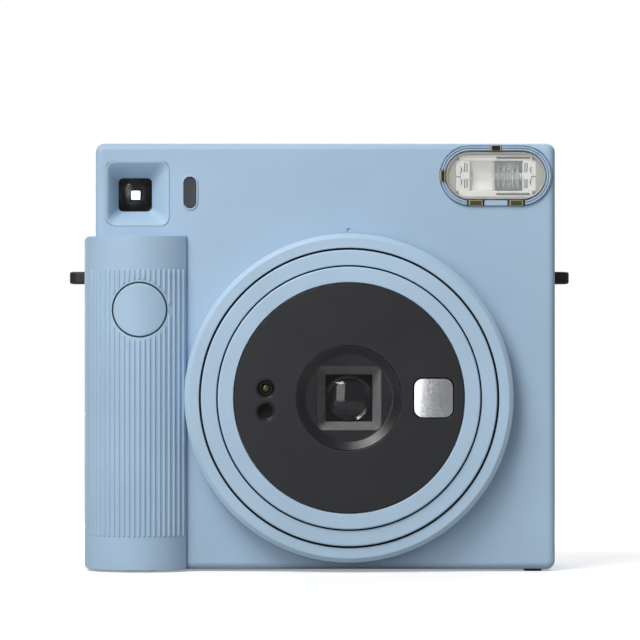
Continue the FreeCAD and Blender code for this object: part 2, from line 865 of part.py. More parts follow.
def grip_cover():
    outer_y = (S.grip_crest_y - PAST, S.grip_rear)
    block = box("GripBlock", (S.grip_left, S.grip_right), outer_y, (S.shell_bottom, S.grip_top))
    outer = common("GripOuter", block, grip_arch("Outer", S.grip_arch_radius, outer_y[1]))
    doc.recompute()
    rounded_outer = doc.addObject("Part::Fillet", "GripRounded")
    rounded_outer.Base = outer
    radius = float(S.grip_edge_radius)

    def outside(edge):
        bounds = edge.BoundBox
        top = near(bounds.ZMin, S.grip_top)
        bottom = near(bounds.ZMin, S.shell_bottom) and near(bounds.ZMax, S.shell_bottom)
        front = bounds.YMax < float(S.face_y) + 2
        left = near(bounds.XMin, S.grip_left) and near(bounds.XMax, S.grip_left)
        return (top or bottom) and (front or left)

    rounded_outer.Edges = [
        (i, radius, radius) for i, edge in enumerate(outer.Shape.Edges, 1) if outside(edge)
    ]
    inner_z = (S.shell_bottom + S.wall, S.grip_top - S.wall)
    inner_block = box(
        "GripRoomBlock",
        (S.grip_left + S.wall, S.grip_right - S.wall),
        (S.grip_crest_y - PAST, S.grip_rear + PAST),
        inner_z,
    )
    inner_arch = grip_arch("Inner", S.grip_arch_radius - S.wall, S.grip_rear + PAST)
    room = common("GripRoomFront", inner_block, inner_arch)
    side_room = box(
        "GripSideRoom",
        (S.grip_left + S.wall, S.grip_right + PAST),
        (S.grip_flange_y, S.grip_rear + PAST),
        inner_z,
    )
    dial_room = rod(
        "GripDialRoom",
        "Y",
        (S.lens_x, S.lens_z),
        S.dial_radius + S.gap,
        (S.grip_crest_y - PAST, S.face_y + S.wall),
    )
    button_hole = rod(
        "GripButtonHole",
        "Y",
        (S.button_x, S.button_z),
        S.button_radius + S.gap,
        (S.grip_crest_y - PAST, S.button_flange_y),
    )
    gap = S.gap
    door_hole = box(
        "GripDoorHole",
        (S.grip_left - PAST, S.grip_left + S.wall + PAST),
        (S.battery_door_front_y - gap, S.battery_hinge_y + S.battery_knuckle_radius + gap),
        (S.battery_door_bottom - gap, S.battery_door_top + gap),
    )
    lug_hole = box(
        "GripLugHole",
        (S.grip_left - PAST, S.grip_left + S.wall + PAST),
        (S.lug_y - S.lug_depth / 2 - S.slip, S.lug_y + S.lug_depth / 2 + S.slip),
        lug_span(S.slip),
    )
    pin_bore = rod(
        "GripPinBore", "Z", (S.battery_hinge_x, S.battery_hinge_y), S.battery_pin_radius, battery_pin_span()
    )
    finished = cut(
        "GripFinished",
        rounded_outer,
        room,
        side_room,
        dial_room,
        button_hole,
        door_hole,
        lug_hole,
        pin_bore,
    )
    return node(finished, "grip_cover")


def grip_arch(name, radius, rear_y):
    """The prism under the grip's convex front: an upright cylinder with straight flanks behind it."""
    centre_y = S.grip_crest_y + S.grip_arch_radius
    tall = (S.shell_bottom - PAST, S.grip_top + PAST)
    bulge = rod(f"GripBulge{name}", "Z", (S.grip_arch_x, centre_y), radius, tall)
    x = (S.grip_left - PAST, S.grip_right + PAST)
    flanks = box(f"GripFlanks{name}", x, (centre_y, rear_y), tall)
    return fuse(f"GripArch{name}", bulge, flanks)


def battery_pin_span():
    return S.battery_door_bottom - S.gap - 3, S.battery_door_top + S.gap + 3


def strap_lugs():
    """Two flat eyelets, one each side, with an upright hole for a strap or a split ring."""
    eyelets = []
    for name, wall_x, side in (("Left", S.grip_left, -1), ("Right", S.body_right, 1)):
        tip = wall_x + side * S.lug_reach
        root = wall_x - side * S.lug_root
        round_x = tip - side * S.lug_hole_inset
        x = (round_x, root) if side < 0 else (root, round_x)
        half = S.lug_depth / 2
        bar = box(f"LugBar{name}", x, (S.lug_y - half, S.lug_y + half), lug_span(0))
        nose_half = half - S.lug_hole_inset
        end_x = (tip, round_x) if side < 0 else (round_x, tip)
        end = box(f"LugEnd{name}", end_x, (S.lug_y - nose_half, S.lug_y + nose_half), lug_span(0))
        rounds = [
            rod(f"LugRound{name}{i}", "Z", (round_x, y), S.lug_hole_inset, lug_span(0))
            for i, y in enumerate((S.lug_y - nose_half, S.lug_y + nose_half))
        ]
        solid = fuse(f"Lug{name}", bar, end, *rounds)
        hole = rod(f"LugHole{name}", "Z", (round_x, S.lug_y), S.lug_hole_radius, lug_span(1))
        eyelets.append(cut(f"Eyelet{name}", solid, hole))
    return node(fuse("StrapLugs", *eyelets), "strap_lugs")


def feet():
    pads = []
    for x, width in ((S.foot_left_x, S.foot_left_width), (S.foot_right_x, S.foot_right_width)):
        for y in (S.foot_front_y, S.foot_rear_y):
            span = (y - S.foot_depth / 2, y + S.foot_depth / 2)
            pads.append(
                box(f"Foot{len(pads)}", (x, x + width), span, (S.shell_bottom - 0.6, S.shell_bottom))
            )
    return node(fuse("Feet", *pads), "feet")


def screw_spots():
    """X and Z of the four screws that close the case from behind."""
    left = S.grip_left + S.wall * 4
    return [
        (left, S.shell_bottom + S.wall * 4),
        (left, S.grip_top / 2 + 10),
        (S.door_left - S.wall * 2.8, S.body_top - S.wall * 2),
        (S.door_right - S.wall * 5, S.body_top - S.wall * 2),
    ]


def screw_holes():
    holes = []
    for i, spot in enumerate(screw_spots()):
        head = (S.back_y - S.screw_head - S.play, S.back_y + PAST)
        shank = (S.back_y - S.wall - PAST, S.back_y)
        holes.append(rod(f"HeadHole{i}", "Y", spot, S.screw_head_radius + S.slip, head))
        holes.append(rod(f"ShankHole{i}", "Y", spot, S.screw_shank_radius + S.slip, shank))
    return holes


def case_screws():
    screws = []
    for i, spot in enumerate(screw_spots()):
        top = S.back_y - S.play
        head = rod(f"ScrewHead{i}", "Y", spot, S.screw_head_radius, (top - S.screw_head, top))
        shank = rod(f"ScrewShank{i}", "Y", spot, S.screw_shank_radius, (top - S.screw_length, top))
        slot_y = (top - S.screw_slot, top + PAST)
        long, short = S.screw_shank_radius, S.screw_shank_radius / 3
        cross = [
            box(f"ScrewSlot{i}{arm}", span_about(spot[0], wide), slot_y, span_about(spot[1], tall))
            for arm, wide, tall in (("A", long, short), ("B", short, long))
        ]
        screws.append(cut(f"Screw{i}", fuse(f"ScrewBlank{i}", head, shank), *cross))
    return node(fuse("CaseScrews", *screws), "case_screws")


def span_about(middle, half):
    return middle - half, middle + half


# ---- viewfinder and meter ----


def viewfinder_bezel():
    centre = (S.finder_x, S.finder_z)
    y = (S.face_y + S.recess, S.face_y + S.recess + S.finder_depth)
    body = plate("FinderBezel", rounded, y, centre, S.finder_width, S.finder_height, S.corner_radius - 0.7)
    mouth = funnel_between(
        "FinderMouth",
        (centre, S.finder_mouth),
        ((S.tunnel_x, S.tunnel_z), S.tunnel_side),
        (y[0], y[1]),
    )
    return node(cut("FinderBezelCut", body, mouth), "viewfinder_bezel")


def funnel_between(name, front, back, y):
    """A taper between two squares whose centres need not be in line; each end is (centre, side)."""
    (front_x, front_z), front_side = front
    (back_x, back_z), back_side = back
    aside, up = back_x - front_x, back_z - front_z
    wedge = doc.addObject("Part::Wedge", name)
    bind(wedge, Xmin=-front_side / 2, Xmax=front_side / 2, Zmin=-front_side / 2, Zmax=front_side / 2)
    bind(wedge, X2min=aside - back_side / 2, X2max=aside + back_side / 2)
    bind(wedge, Z2min=up - back_side / 2, Z2max=up + back_side / 2)
    bind(wedge, Ymin=0.0, Ymax=y[1] - y[0])
    return place(wedge, front_x, y[0], front_z)


def finder_front_y():
    return S.face_y + S.recess + S.finder_depth + S.play


def viewfinder_tunnel():
    half_out = S.tunnel_side / 2 + S.tunnel_wall
    half_in = S.tunnel_side / 2
    y = (finder_front_y(), S.tunnel_back_y)
    x_out, z_out = span_about(S.tunnel_x, half_out), span_about(S.tunnel_z, half_out)
    x_in, z_in = span_about(S.tunnel_x, half_in), span_about(S.tunnel_z, half_in)
    shell = box("TunnelShell", x_out, y, z_out)
    room = box("TunnelRoom", x_in, (y[0] - PAST, S.tunnel_back_y - S.tunnel_mask), z_in)
    mask_half = S.mask_side / 2
    mask = box(
        "TunnelMask",
        span_about(S.tunnel_x, mask_half),
        (y[0], S.tunnel_back_y + PAST),
        span_about(S.tunnel_z, mask_half),
    )
    return node(cut("FinderTunnel", shell, room, mask), "viewfinder_tunnel")


def viewfinder_front_lens():
    half = S.tunnel_side / 2 - S.slip
    start = finder_front_y() + 0.4
    y = (start, start + S.finder_lens)
    block = box("FinderLensBlock", span_about(S.tunnel_x, half), y, span_about(S.tunnel_z, half))
    centre = (S.tunnel_x, start + S.finder_lens_middle + S.finder_lens_curve, S.tunnel_z)
    hollow = ball("FinderLensHollow", centre, S.finder_lens_curve)
    return node(cut("FinderLens", block, hollow), "viewfinder_front_lens")


def viewfinder_eyepiece():
    half = S.tunnel_side / 2 + S.tunnel_wall - S.recess
    y = (S.tunnel_back_y + S.play, S.tunnel_back_y + S.play + S.eyepiece)
    block = box("EyepieceBlock", span_about(S.tunnel_x, half), y, span_about(S.tunnel_z, half))
    return node(block, "viewfinder_eyepiece")


def eyepiece_frame():
    centre = (S.tunnel_x, S.tunnel_z)
    y = (S.back_y, S.eyepiece_frame_back_y)
    side = S.eyepiece_frame_side
    body = plate("EyepieceRing", rounded, y, centre, side, side, S.corner_radius)
    hole = (y[0] - PAST, y[1] + PAST)
    inner = S.tunnel_side - 0.4
    opening(body, "EyepieceRingHole", hole, rounded, centre, inner, inner, S.corner_radius / 2)
    round_edges(body, "EyepieceRingEdge", S.edge_radius / 4, at_depth(S.eyepiece_frame_back_y))
    return node(body, "eyepiece_frame")


def light_meter_window():
    y = (S.face_y - 0.15, S.face_y + S.wall)
    body = plate("MeterWindow", stadium, y, (S.meter_x, S.meter_z), S.meter_width, S.meter_height)
    return node(body, "light_meter_window")


# ---- flash ----


def flash_bezel():
    centre = (S.flash_x, S.flash_z)
    y = (S.flash_front_y, S.flash_front_y + S.flash_bezel_depth)
    body = plate("FlashBezel", stadium, y, centre, S.flash_width, S.flash_height)
    through = (y[0] - PAST, y[1] + PAST)
    opening(
        body,
        "FlashBezelHole",
        through,
        stadium,
        centre,
        S.window_width + S.play,
        S.window_height + S.play,
    )
    return node(body, "flash_bezel")


def flash_window():
    y = (S.flash_front_y - S.stand_off, S.flash_front_y - S.stand_off + S.window_thickness)
    body = plate("FlashWindow", stadium, y, (S.flash_x, S.flash_z), S.window_width, S.window_height)
    round_edges(body, "FlashWindowEdge", S.edge_radius / 3, at_depth(y[0]))
    return node(body, "flash_window")


def flash_reflector():
    """A bright trough behind the window, closed at both ends."""
    y = (S.reflector_front_y, S.reflector_front_y + S.reflector_depth)
    block = box(
        "ReflectorBlock",
        span_about(S.flash_x, S.reflector_width / 2),
        y,
        span_about(S.flash_z, S.reflector_height / 2),
    )
    trough = rod(
        "ReflectorTrough",
        "X",
        (y[0], S.flash_z),
        S.trough_radius,
        span_about(S.flash_x, S.trough_width / 2),
    )
    return node(cut("Reflector", block, trough), "flash_reflector")


def flash_tube():
    span = span_about(S.flash_x, S.trough_width / 2 - S.play)
    return node(rod("XenonTube", "X", (S.xenon_y, S.flash_z), S.xenon_radius, span), "flash_tube")


def flash_capacitor():
    centre = (S.capacitor_x, S.capacitor_y)
    can = rod(
        "Capacitor",
        "Z",
        centre,
        S.capacitor_radius,
        (S.capacitor_bottom, S.capacitor_bottom + S.capacitor_length),
    )
    return node(can, "flash_capacitor")


def main_circuit_board():
    base = box(
        "Board",
        (S.board_left, S.board_right),
        (S.board_y, S.board_y + S.board),
        (S.board_bottom, S.board_top),
    )
    middle = (S.board_bottom + S.board_top) / 2
    chips = [
        box(
            f"Chip{i}",
            span_about(S.board_left + getattr(S, f"{kind}_offset"), getattr(S, f"{kind}_half_width")),
            (S.board_y + S.board, S.board_y + S.board + getattr(S, f"{kind}_height")),
            span_about(middle, getattr(S, f"{kind}_half_length")),
        )
        for i, kind in enumerate(("processor", "timer", "transformer"))
    ]
    return node(fuse("MainBoard", base, *chips), "main_circuit_board")


# ---- lens unit ----


def dial_ring():
    bore = S.outer_barrel_radius + S.gap
    flange_front = S.face_y + S.wall + S.gap
    profile = [
        (bore, S.dial_front_y),
        (S.dial_radius, S.dial_front_y),
        (S.dial_radius, S.dial_back_y),
        (S.dial_radius - S.dial_wall, S.dial_back_y),
        (S.dial_radius - S.dial_wall, S.dial_front_y + S.dial_face),
        (S.dial_neck_radius, S.dial_front_y + S.dial_face),
        (S.dial_neck_radius, flange_front),
        (S.dial_flange_radius, flange_front),
        (S.dial_flange_radius, flange_front + S.dial_flange),
        (bore, flange_front + S.dial_flange),
    ]
    body = turned("DialRing", profile, S.lens_x, S.lens_z)
    rim = at_depth(S.dial_front_y, 2 * math.pi * float(S.dial_radius - S.ledge))
    round_edges(body, "DialRimEdge", S.dial_edge, rim)
    return node(body, "dial_ring")


def outer_barrel():
    profile = [
        (S.outer_barrel_bore, S.outer_barrel_front_y),
        (S.outer_barrel_radius, S.outer_barrel_front_y),
        (S.outer_barrel_radius, S.barrel_back_y),
        (S.outer_barrel_bore, S.barrel_back_y),
    ]
    body = turned("OuterBarrel", profile, S.lens_x, S.lens_z)
    rim = at_depth(S.outer_barrel_front_y, 2 * math.pi * float(S.outer_barrel_radius - S.ledge))
    round_edges(body, "OuterBarrelEdge", S.barrel_edge, rim)
    return node(body, "outer_barrel")


def inner_barrel():
    inner = S.inner_barrel_radius - S.inner_barrel_wall
    seat = S.panel_radius + S.slip
    profile = [
        (seat, S.inner_barrel_front_y),
        (S.inner_barrel_radius, S.inner_barrel_front_y),
        (S.inner_barrel_radius, S.barrel_back_y),
        (inner, S.barrel_back_y),
        (inner, S.barrel_floor_y + S.barrel_floor),
        (S.holder_radius + S.slip, S.barrel_floor_y + S.barrel_floor),
        (S.holder_radius + S.slip, S.barrel_floor_y),
        (inner, S.barrel_floor_y),
        (inner, S.inner_barrel_front_y + S.wall),
        (seat, S.inner_barrel_front_y + S.wall),
    ]
    body = turned("InnerBarrel", profile, S.lens_x, S.lens_z)
    rim = at_depth(S.inner_barrel_front_y, 2 * math.pi * float(S.inner_barrel_radius - S.ledge))
    round_edges(body, "InnerBarrelEdge", S.barrel_edge, rim)
    return node(body, "inner_barrel")


def panel_spots():
    """Centres of what sits in the round panel beside the lens."""
    return {
        "mirror": (S.lens_x + S.mirror_offset, S.lens_z),
        "upper": (S.lens_x + S.sensor_offset, S.lens_z + S.sensor_upper),
        "lower": (S.lens_x + S.sensor_offset, S.lens_z + S.sensor_lower),
    }


def lens_panel():
    y = (S.panel_front_y, S.panel_front_y + S.panel_thickness)
    body = plate("LensPanel", circle, y, S.lens_x, S.lens_z, S.panel_radius)
    through = (y[0] - PAST, y[1] + PAST)
    spots = panel_spots()
    opening(body, "HoodHole", through, circle, S.lens_x, S.lens_z, S.hood_radius)
    side = S.mirror_side + 2 * S.mirror_rim
    opening(
        body,
        "MirrorHole",
        through,
        rounded,
        spots["mirror"],
        side,
        side,
        S.mirror_corner + S.mirror_rim,
    )
    for name in ("upper", "lower"):
        opening(body, f"SensorHole_{name}", through, circle, *spots[name], S.sensor_radius + S.slip)
    return node(body, "lens_panel")


def selfie_mirror():
    y = (S.panel_front_y - S.slip, S.panel_front_y + S.panel_thickness - S.recess)
    body = plate(
        "SelfieMirror",
        rounded,
        y,
        panel_spots()["mirror"],
        S.mirror_side,
        S.mirror_side,
        S.mirror_corner,
    )
    return node(body, "selfie_mirror")


def sensor(label, spot, depth):
    """A small barrel behind the panel with a dish in its front."""
    front = S.panel_front_y + S.play
    barrel = rod(f"{label}Barrel", "Y", spot, S.sensor_radius, (front, front + S.sensor_length))
    dish_radius = S.sensor_radius * S.sensor_dish_share
    dish = rod(f"{label}Dish", "Y", spot, dish_radius, (front - PAST, front + depth))
    return node(cut(f"{label}Cut", barrel, dish), label)


def lens_hood():
    """The square stepped throat in front of the lens, inside a round countersink."""
    centre = (S.lens_x, S.lens_z)
    front = S.panel_front_y + S.play
    blank = rod("HoodBlank", "Y", centre, S.hood_radius - S.slip, (front, S.hood_back_y))
    sink = doc.addObject("Part::Cone", "HoodSink")
    slope = S.hood_radius - S.hood_floor_radius
    bind(
        sink,
        Radius1=S.hood_floor_radius,
        Radius2=S.hood_floor_radius + slope,
        Height=S.hood_floor_y - front + S.slip,
    )
    place(sink, S.lens_x, S.hood_floor_y, S.lens_z, Rotation(Vector(1, 0, 0), 90))
    throat_back = S.hood_back_y - S.hood_wall
    square = funnel(
        "HoodThroat",
        centre,
        (S.hood_square, S.hood_square),
        (S.hood_throat, S.hood_throat),
        (S.hood_floor_y, throat_back),
    )
    hole = rod(
        "HoodHole",
        "Y",
        centre,
        S.front_lens_radius + S.slip,
        (throat_back - PAST, S.hood_back_y + PAST),
    )
    return node(cut("Hood", blank, sink, square, hole), "lens_hood")


def lens(label, radius, front, back, curve):
    """A plano-convex element, its curved side to the front."""
    blank = rod(f"{label}Blank", "Y", (S.lens_x, S.lens_z), radius, (front, back))
    dome = ball(f"{label}Dome", (S.lens_x, front + curve, S.lens_z), curve)
    return node(common(f"{label}Glass", blank, dome), label)


def lens_holder():
    profile = [
        (S.front_lens_radius + S.slip, S.holder_front_y),
        (S.holder_radius, S.holder_front_y),
        (S.holder_radius, S.holder_back_y),
        (S.rear_lens_radius + S.slip, S.holder_back_y),
        (S.rear_lens_radius + S.slip, S.blade_room_back_y),
        (S.blade_room_radius, S.blade_room_back_y),
        (S.blade_room_radius, S.blade_room_y),
        (S.front_lens_radius + S.slip, S.blade_room_y),
    ]
    return node(turned("LensHolder", profile, S.lens_x, S.lens_z), "lens_holder")


def blade_pivot(side):
    return S.lens_x + side * S.blade_pivot_x, S.lens_z + S.blade_pivot_z


def shutter_plate():
    y = (S.shutter_plate_y, S.shutter_plate_y + S.shutter_plate)
    disc = rod("ShutterDisc", "Y", (S.lens_x, S.lens_z), S.blade_room_radius, y)
    pins_y = (S.shutter_plate_y - 2 * S.blade_pitch - S.blade, S.shutter_plate_y)
    pins = [
        rod(f"BladePin{i}", "Y", blade_pivot(side), S.blade_pin_radius, pins_y)
        for i, side in enumerate((-1, 1))
    ]
    aperture = rod("Aperture", "Y", (S.lens_x, S.lens_z), S.aperture_radius, (y[0] - PAST, y[1] + PAST))
    return node(cut("ShutterPlate", fuse("ShutterDiscPins", disc, *pins), aperture), "shutter_plate")


def shutter_blade(label, side, layer):
    """A thin leaf that hangs from its pin and covers its half of the aperture and a little more."""
    back = S.shutter_plate_y - S.blade_pitch * layer
    y = (back - S.blade, back)
    inner = S.lens_x - side * S.blade_overlap
    outer = S.lens_x + side * S.blade_outer
    x = (outer, inner) if side < 0 else (inner, outer)
    leaf = box(f"{label}Leaf", x, y, (S.lens_z - S.blade_drop, S.lens_z + S.blade_pivot_z + S.ledge))
    bore = rod(
        f"{label}Bore",
        "Y",
        blade_pivot(side),
        S.blade_pin_radius + S.fit_clearance,
        (y[0] - PAST, y[1] + PAST),
    )
    return node(cut(f"{label}Cut", leaf, bore), label)


# ---- shutter button ----


def shutter_button():
    """A round cap that carries on the grip's curve, with a flange that keeps it in and a stem."""
    spot = (S.button_x, S.button_z)
    blank = rod("ButtonBlank", "Y", spot, S.button_radius, (S.grip_crest_y - PAST, S.button_flange_y))
    crown = rod(
        "ButtonCrown",
        "Z",
        (S.grip_arch_x, S.grip_crest_y + S.grip_arch_radius),
        S.grip_arch_radius,
        (S.button_z - S.button_radius - PAST, S.button_z + S.button_radius + PAST),
    )
    cap = common("ButtonCap", blank, crown)
    flange = rod(
        "ButtonFlange",
        "Y",
        spot,
        S.button_flange_radius,
        (S.button_flange_y, S.button_flange_y + S.button_flange),
    )
    stem = rod("ButtonStem", "Y", spot, S.button_stem_radius, (S.button_flange_y, S.button_stem_y))
    return node(fuse("Button", cap, flange, stem), "shutter_button")


def shutter_switch():
    spot = (S.button_x, S.button_z)
    cap = rod("SwitchCap", "Y", spot, S.button_stem_radius, (S.switch_y, S.switch_y + S.switch_cap))
    case = box(
        "SwitchCase",
        span_about(S.button_x, S.switch_case_half),
        (S.switch_y + S.switch_case_start, S.switch_y + S.switch_case_end),
        span_about(S.button_z, S.switch_case_half),
    )
    card_y = S.switch_y + S.switch_case_end
    card = box(
        "SwitchCard",
        (S.grip_left + S.wall + S.play, S.grip_right - S.ledge),
        (card_y, card_y + S.switch_card),
        span_about(S.button_z, S.switch_card_half),
    )
    return node(fuse("ShutterSwitch", cap, case, card), "shutter_switch")


# ---- film chamber, light tunnel and film drive ----


def film_chamber():
    wall = S.chamber_wall
    y = (S.chamber_front_y - wall, S.back_y)
    outer = box(
        "ChamberOuter",
        (S.chamber_left - wall, S.chamber_right + wall),
        y,
        (S.chamber_bottom - wall, S.chamber_top + wall),
    )
    room = box(
        "ChamberRoom",
        (S.chamber_left, S.chamber_right),
        (S.chamber_front_y, S.back_y + PAST),
        (S.chamber_bottom, S.chamber_top),
    )
    half = S.image_side / 2
    image = box(
        "ImageWindow", span_about(S.lens_x, half), (y[0] - PAST, y[1]), span_about(S.lens_z, half)
    )
    exit_gap = box(
        "FilmExit",
        (S.chamber_left + wall, S.chamber_right - wall),
        (S.slot_front_y + wall, S.slot_back_y),
        (S.chamber_top - PAST, S.chamber_top + wall + PAST),
    )
    finger_room = box(
        "ClawSlot",
        (S.chamber_right - PAST, S.chamber_right + wall + PAST),
        (S.claw_y + S.ledge, S.claw_y + S.claw_depth - S.ledge),
        (S.claw_finger_z - 2, S.claw_finger_z + S.claw_travel + S.claw_finger + 2),
    )
    return node(cut("FilmChamber", outer, room, image, exit_gap, finger_room), "film_chamber")


def light_tunnel():
    """The tapered box that carries the image from the lens to the film."""
    y = (S.tunnel_front_y, S.chamber_front_y - S.chamber_wall)
    centre = (S.lens_x, S.lens_z)
    wall = 2 * S.light_tunnel_wall
    front = S.tunnel_front_side
    back = S.image_side + 1
    outer = funnel("TunnelOuter", centre, (front + wall, front + wall), (back + wall, back + wall), y)
    inner = funnel("TunnelInner", centre, (front, front), (back, back), y)
    return node(cut("LightTunnel", outer, inner), "light_tunnel")


def roller_y(row):
    return S.film_y + row * S.roller_pitch / 2


def roller(label, row):
    """A metal roller with its shaft; the long end of the shaft carries the gear."""
    centre = (roller_y(row), S.roller_z)
    drum = rod(f"{label}Drum", "X", centre, S.roller_radius, (S.roller_left, S.roller_right))
    right_end = S.roller_right + S.bracket + 2
    shaft = rod(f"{label}Shaft", "X", centre, S.shaft_radius, (S.gear_left, right_end))
    return node(fuse(f"{label}Solid", drum, shaft), label)


def gear(label, teeth, centre, bore, phase, x):
    """A spur gear across the X axis: one tooth padded on a disc, then repeated round it."""
    pitch_radius = S.tooth_pitch * teeth / (2 * math.pi)
    root = pitch_radius - S.tooth_root
    tip = pitch_radius + S.tooth_height / 2
    body = new_body(label)
    disc = sketch(body, "YZ_Plane", f"{label}Disc")
    circle(disc, Dim(0.0, "0"), Dim(0.0, "0"), root)
    pad(body, disc, x[1] - x[0], f"{label}DiscPad")
    root_half = S.tooth_pitch * TOOTH_SHARE_AT_ROOT
    tip_half = S.tooth_pitch * TOOTH_SHARE_AT_TIP
    inside = root - S.stand_off
    tooth = sketch(body, "YZ_Plane", f"{label}Tooth")
    outline(tooth, [(inside, -root_half), (tip, -tip_half), (tip, tip_half), (inside, root_half)])
    one = pad(body, tooth, x[1] - x[0], f"{label}ToothPad")
    ring = body.newObject("PartDesign::PolarPattern", f"{label}Ring")
    ring.Originals = [one]
    ring.Axis = (tooth, ["N_Axis"])
    ring.Angle = FULL_TURN
    ring.Occurrences = teeth
    body.Tip = ring
    doc.recompute()
    hole = sketch(body, "YZ_Plane", f"{label}Hole", -1.0)
    circle(hole, Dim(0.0, "0"), Dim(0.0, "0"), bore)
    pocket(body, hole, x[1] - x[0] + 2, f"{label}Bore", reverse=True)
    body.Placement = Placement(Vector(), Rotation(Vector(1, 0, 0), phase))
    place(body, x[0], *centre)
    return node(body, label)


def mesh_phase(own_teeth, other_teeth, other_phase, direction):
    """Turn a gear so that a gap of it meets the tooth of its neighbour along direction (degrees)."""
    other_offset = (direction + 180 - other_phase) * other_teeth / FULL_TURN
    fraction = other_offset - math.floor(other_offset)
    own_step = FULL_TURN / own_teeth
    return (direction + (0.5 + fraction) * own_step) % own_step


def film_gears():
    x = (S.gear_left, S.gear_left + S.gear_width)
    front = (roller_y(-1), S.roller_z)
    rear = (roller_y(1), S.roller_z)
    idler = (S.idler_y, S.idler_z)
    pinion = (S.pinion_y, S.pinion_z)
    front_phase = 0.0
    rear_phase = mesh_phase(ROLLER_TEETH, ROLLER_TEETH, front_phase, 180.0)
    idler_phase = mesh_phase(IDLER_TEETH, ROLLER_TEETH, front_phase, heading(idler, front))
    pinion_phase = mesh_phase(PINION_TEETH, IDLER_TEETH, idler_phase, heading(pinion, idler))
    gear("front_roller_gear", ROLLER_TEETH, front, S.shaft_radius, front_phase, x)
    gear("rear_roller_gear", ROLLER_TEETH, rear, S.shaft_radius, rear_phase, x)
    gear("idler_gear", IDLER_TEETH, idler, S.shaft_radius + S.fit_clearance, idler_phase, x)
    gear("motor_pinion", PINION_TEETH, pinion, S.shaft_radius / 2 + S.fit_clearance, pinion_phase, x)


def heading(start, end):
    """Angle of the line from one centre to another in the Y-Z plane, in degrees from +Y to +Z."""
    return math.degrees(math.atan2(float(end[1]) - float(start[1]), float(end[0]) - float(start[0])))


def roller_bracket():
    """Side plates that carry the rollers, the idler and the motor."""
    left_x = (S.bracket_left, S.bracket_left + S.bracket)
    right_x = (S.roller_right + 0.4, S.roller_right + 0.4 + S.bracket)
    upper_z = (S.bracket_ledge, S.bracket_top)
    front_y = (S.bracket_front_y, S.chamber_front_y - S.chamber_wall - S.stand_off)
    left_upper = box("BracketUpper", left_x, (S.bracket_front_y, S.bracket_back_y), upper_z)
    left_lower = box("BracketLower", left_x, front_y, (S.bracket_bottom, S.bracket_ledge))
    right = box("BracketRight", right_x, (S.film_y - 9, S.bracket_back_y), upper_z)
    through = (S.bracket_left - PAST, S.roller_right + 5)
    bores = [
        rod(f"BracketBore{i}", "X", (roller_y(row), S.roller_z), S.shaft_radius + S.fit_clearance, through)
        for i, row in enumerate((-1, 1))
    ]
    boss_hole = rod(
        "BracketBossHole",
        "X",
        (S.pinion_y, S.pinion_z),
        S.motor_boss_radius + S.slip,
        (left_x[0] - PAST, left_x[1] + PAST),
    )
    bridge = box(
        "BracketBridge",
        (S.bracket_left, S.roller_right + 0.4),
        (S.bracket_bridge_front_y, S.bracket_back_y),
        (S.bracket_top - S.bracket, S.bracket_top),
    )
    plates = fuse("BracketPlates", left_upper, left_lower, right, bridge)
    axle = rod(
        "IdlerAxle",
        "X",
        (S.idler_y, S.idler_z),
        S.shaft_radius,
        (S.gear_left - S.stand_off, left_x[1]),
    )
    drilled = cut("BracketDrilled", plates, *bores, boss_hole)
    return node(fuse("RollerBracket", drilled, axle), "roller_bracket")


def drive_motor():
    centre = (S.pinion_y, S.pinion_z)
    can = rod("MotorCan", "X", centre, S.motor_radius, (S.motor_left, S.motor_left + S.motor_length))
    boss = rod("MotorBoss", "X", centre, S.motor_boss_radius, (S.bracket_left, S.motor_left))
    shaft = rod("MotorShaft", "X", centre, S.shaft_radius / 2, (S.gear_left - S.stand_off, S.motor_left))
    end_span = (S.motor_left + S.motor_length, S.motor_left + S.motor_length + 1.5)
    end = rod("MotorEnd", "X", centre, S.motor_boss_radius, end_span)
    return node(fuse("DriveMotor", can, boss, shaft, end), "drive_motor")


def pick_claw():
    """The plate beside the chamber whose finger pushes the front sheet of film out of its pack."""
    x = (S.claw_x, S.claw_x + S.claw)
    y = (S.claw_y, S.claw_y + S.claw_depth)
    strip = box("ClawStrip", x, y, (S.claw_bottom, S.claw_bottom + S.claw_height))
    middle = S.claw_y + S.claw_depth / 2
    finger = box(
        "ClawFinger",
        (S.claw_x - S.claw_reach, S.claw_x),
        span_about(middle, S.claw_finger / 2),
        (S.claw_finger_z, S.claw_finger_z + S.claw_finger),
    )
    return node(fuse("PickClaw", strip, finger), "pick_claw")


def exit_flap():
    """A light flap that lies in the exit slot and swings up on its rear edge as the picture leaves."""
    half = S.slot_width / 2 - S.gap
    x = span_about(S.lens_x, half)
    hinge_y = S.slot_back_y - S.flap_pin_radius - S.gap
    leaf = box(
        "FlapLeaf",
        x,
        (S.slot_front_y + S.gap, hinge_y),
        (S.flap_z - S.flap_thickness / 2, S.flap_z + S.flap_thickness / 2),
    )
    pivot = rod("FlapPivot", "X", (hinge_y, S.flap_z), S.flap_pin_radius, x)
    return node(fuse("ExitFlap", leaf, pivot), "exit_flap")


# ---- film door ----


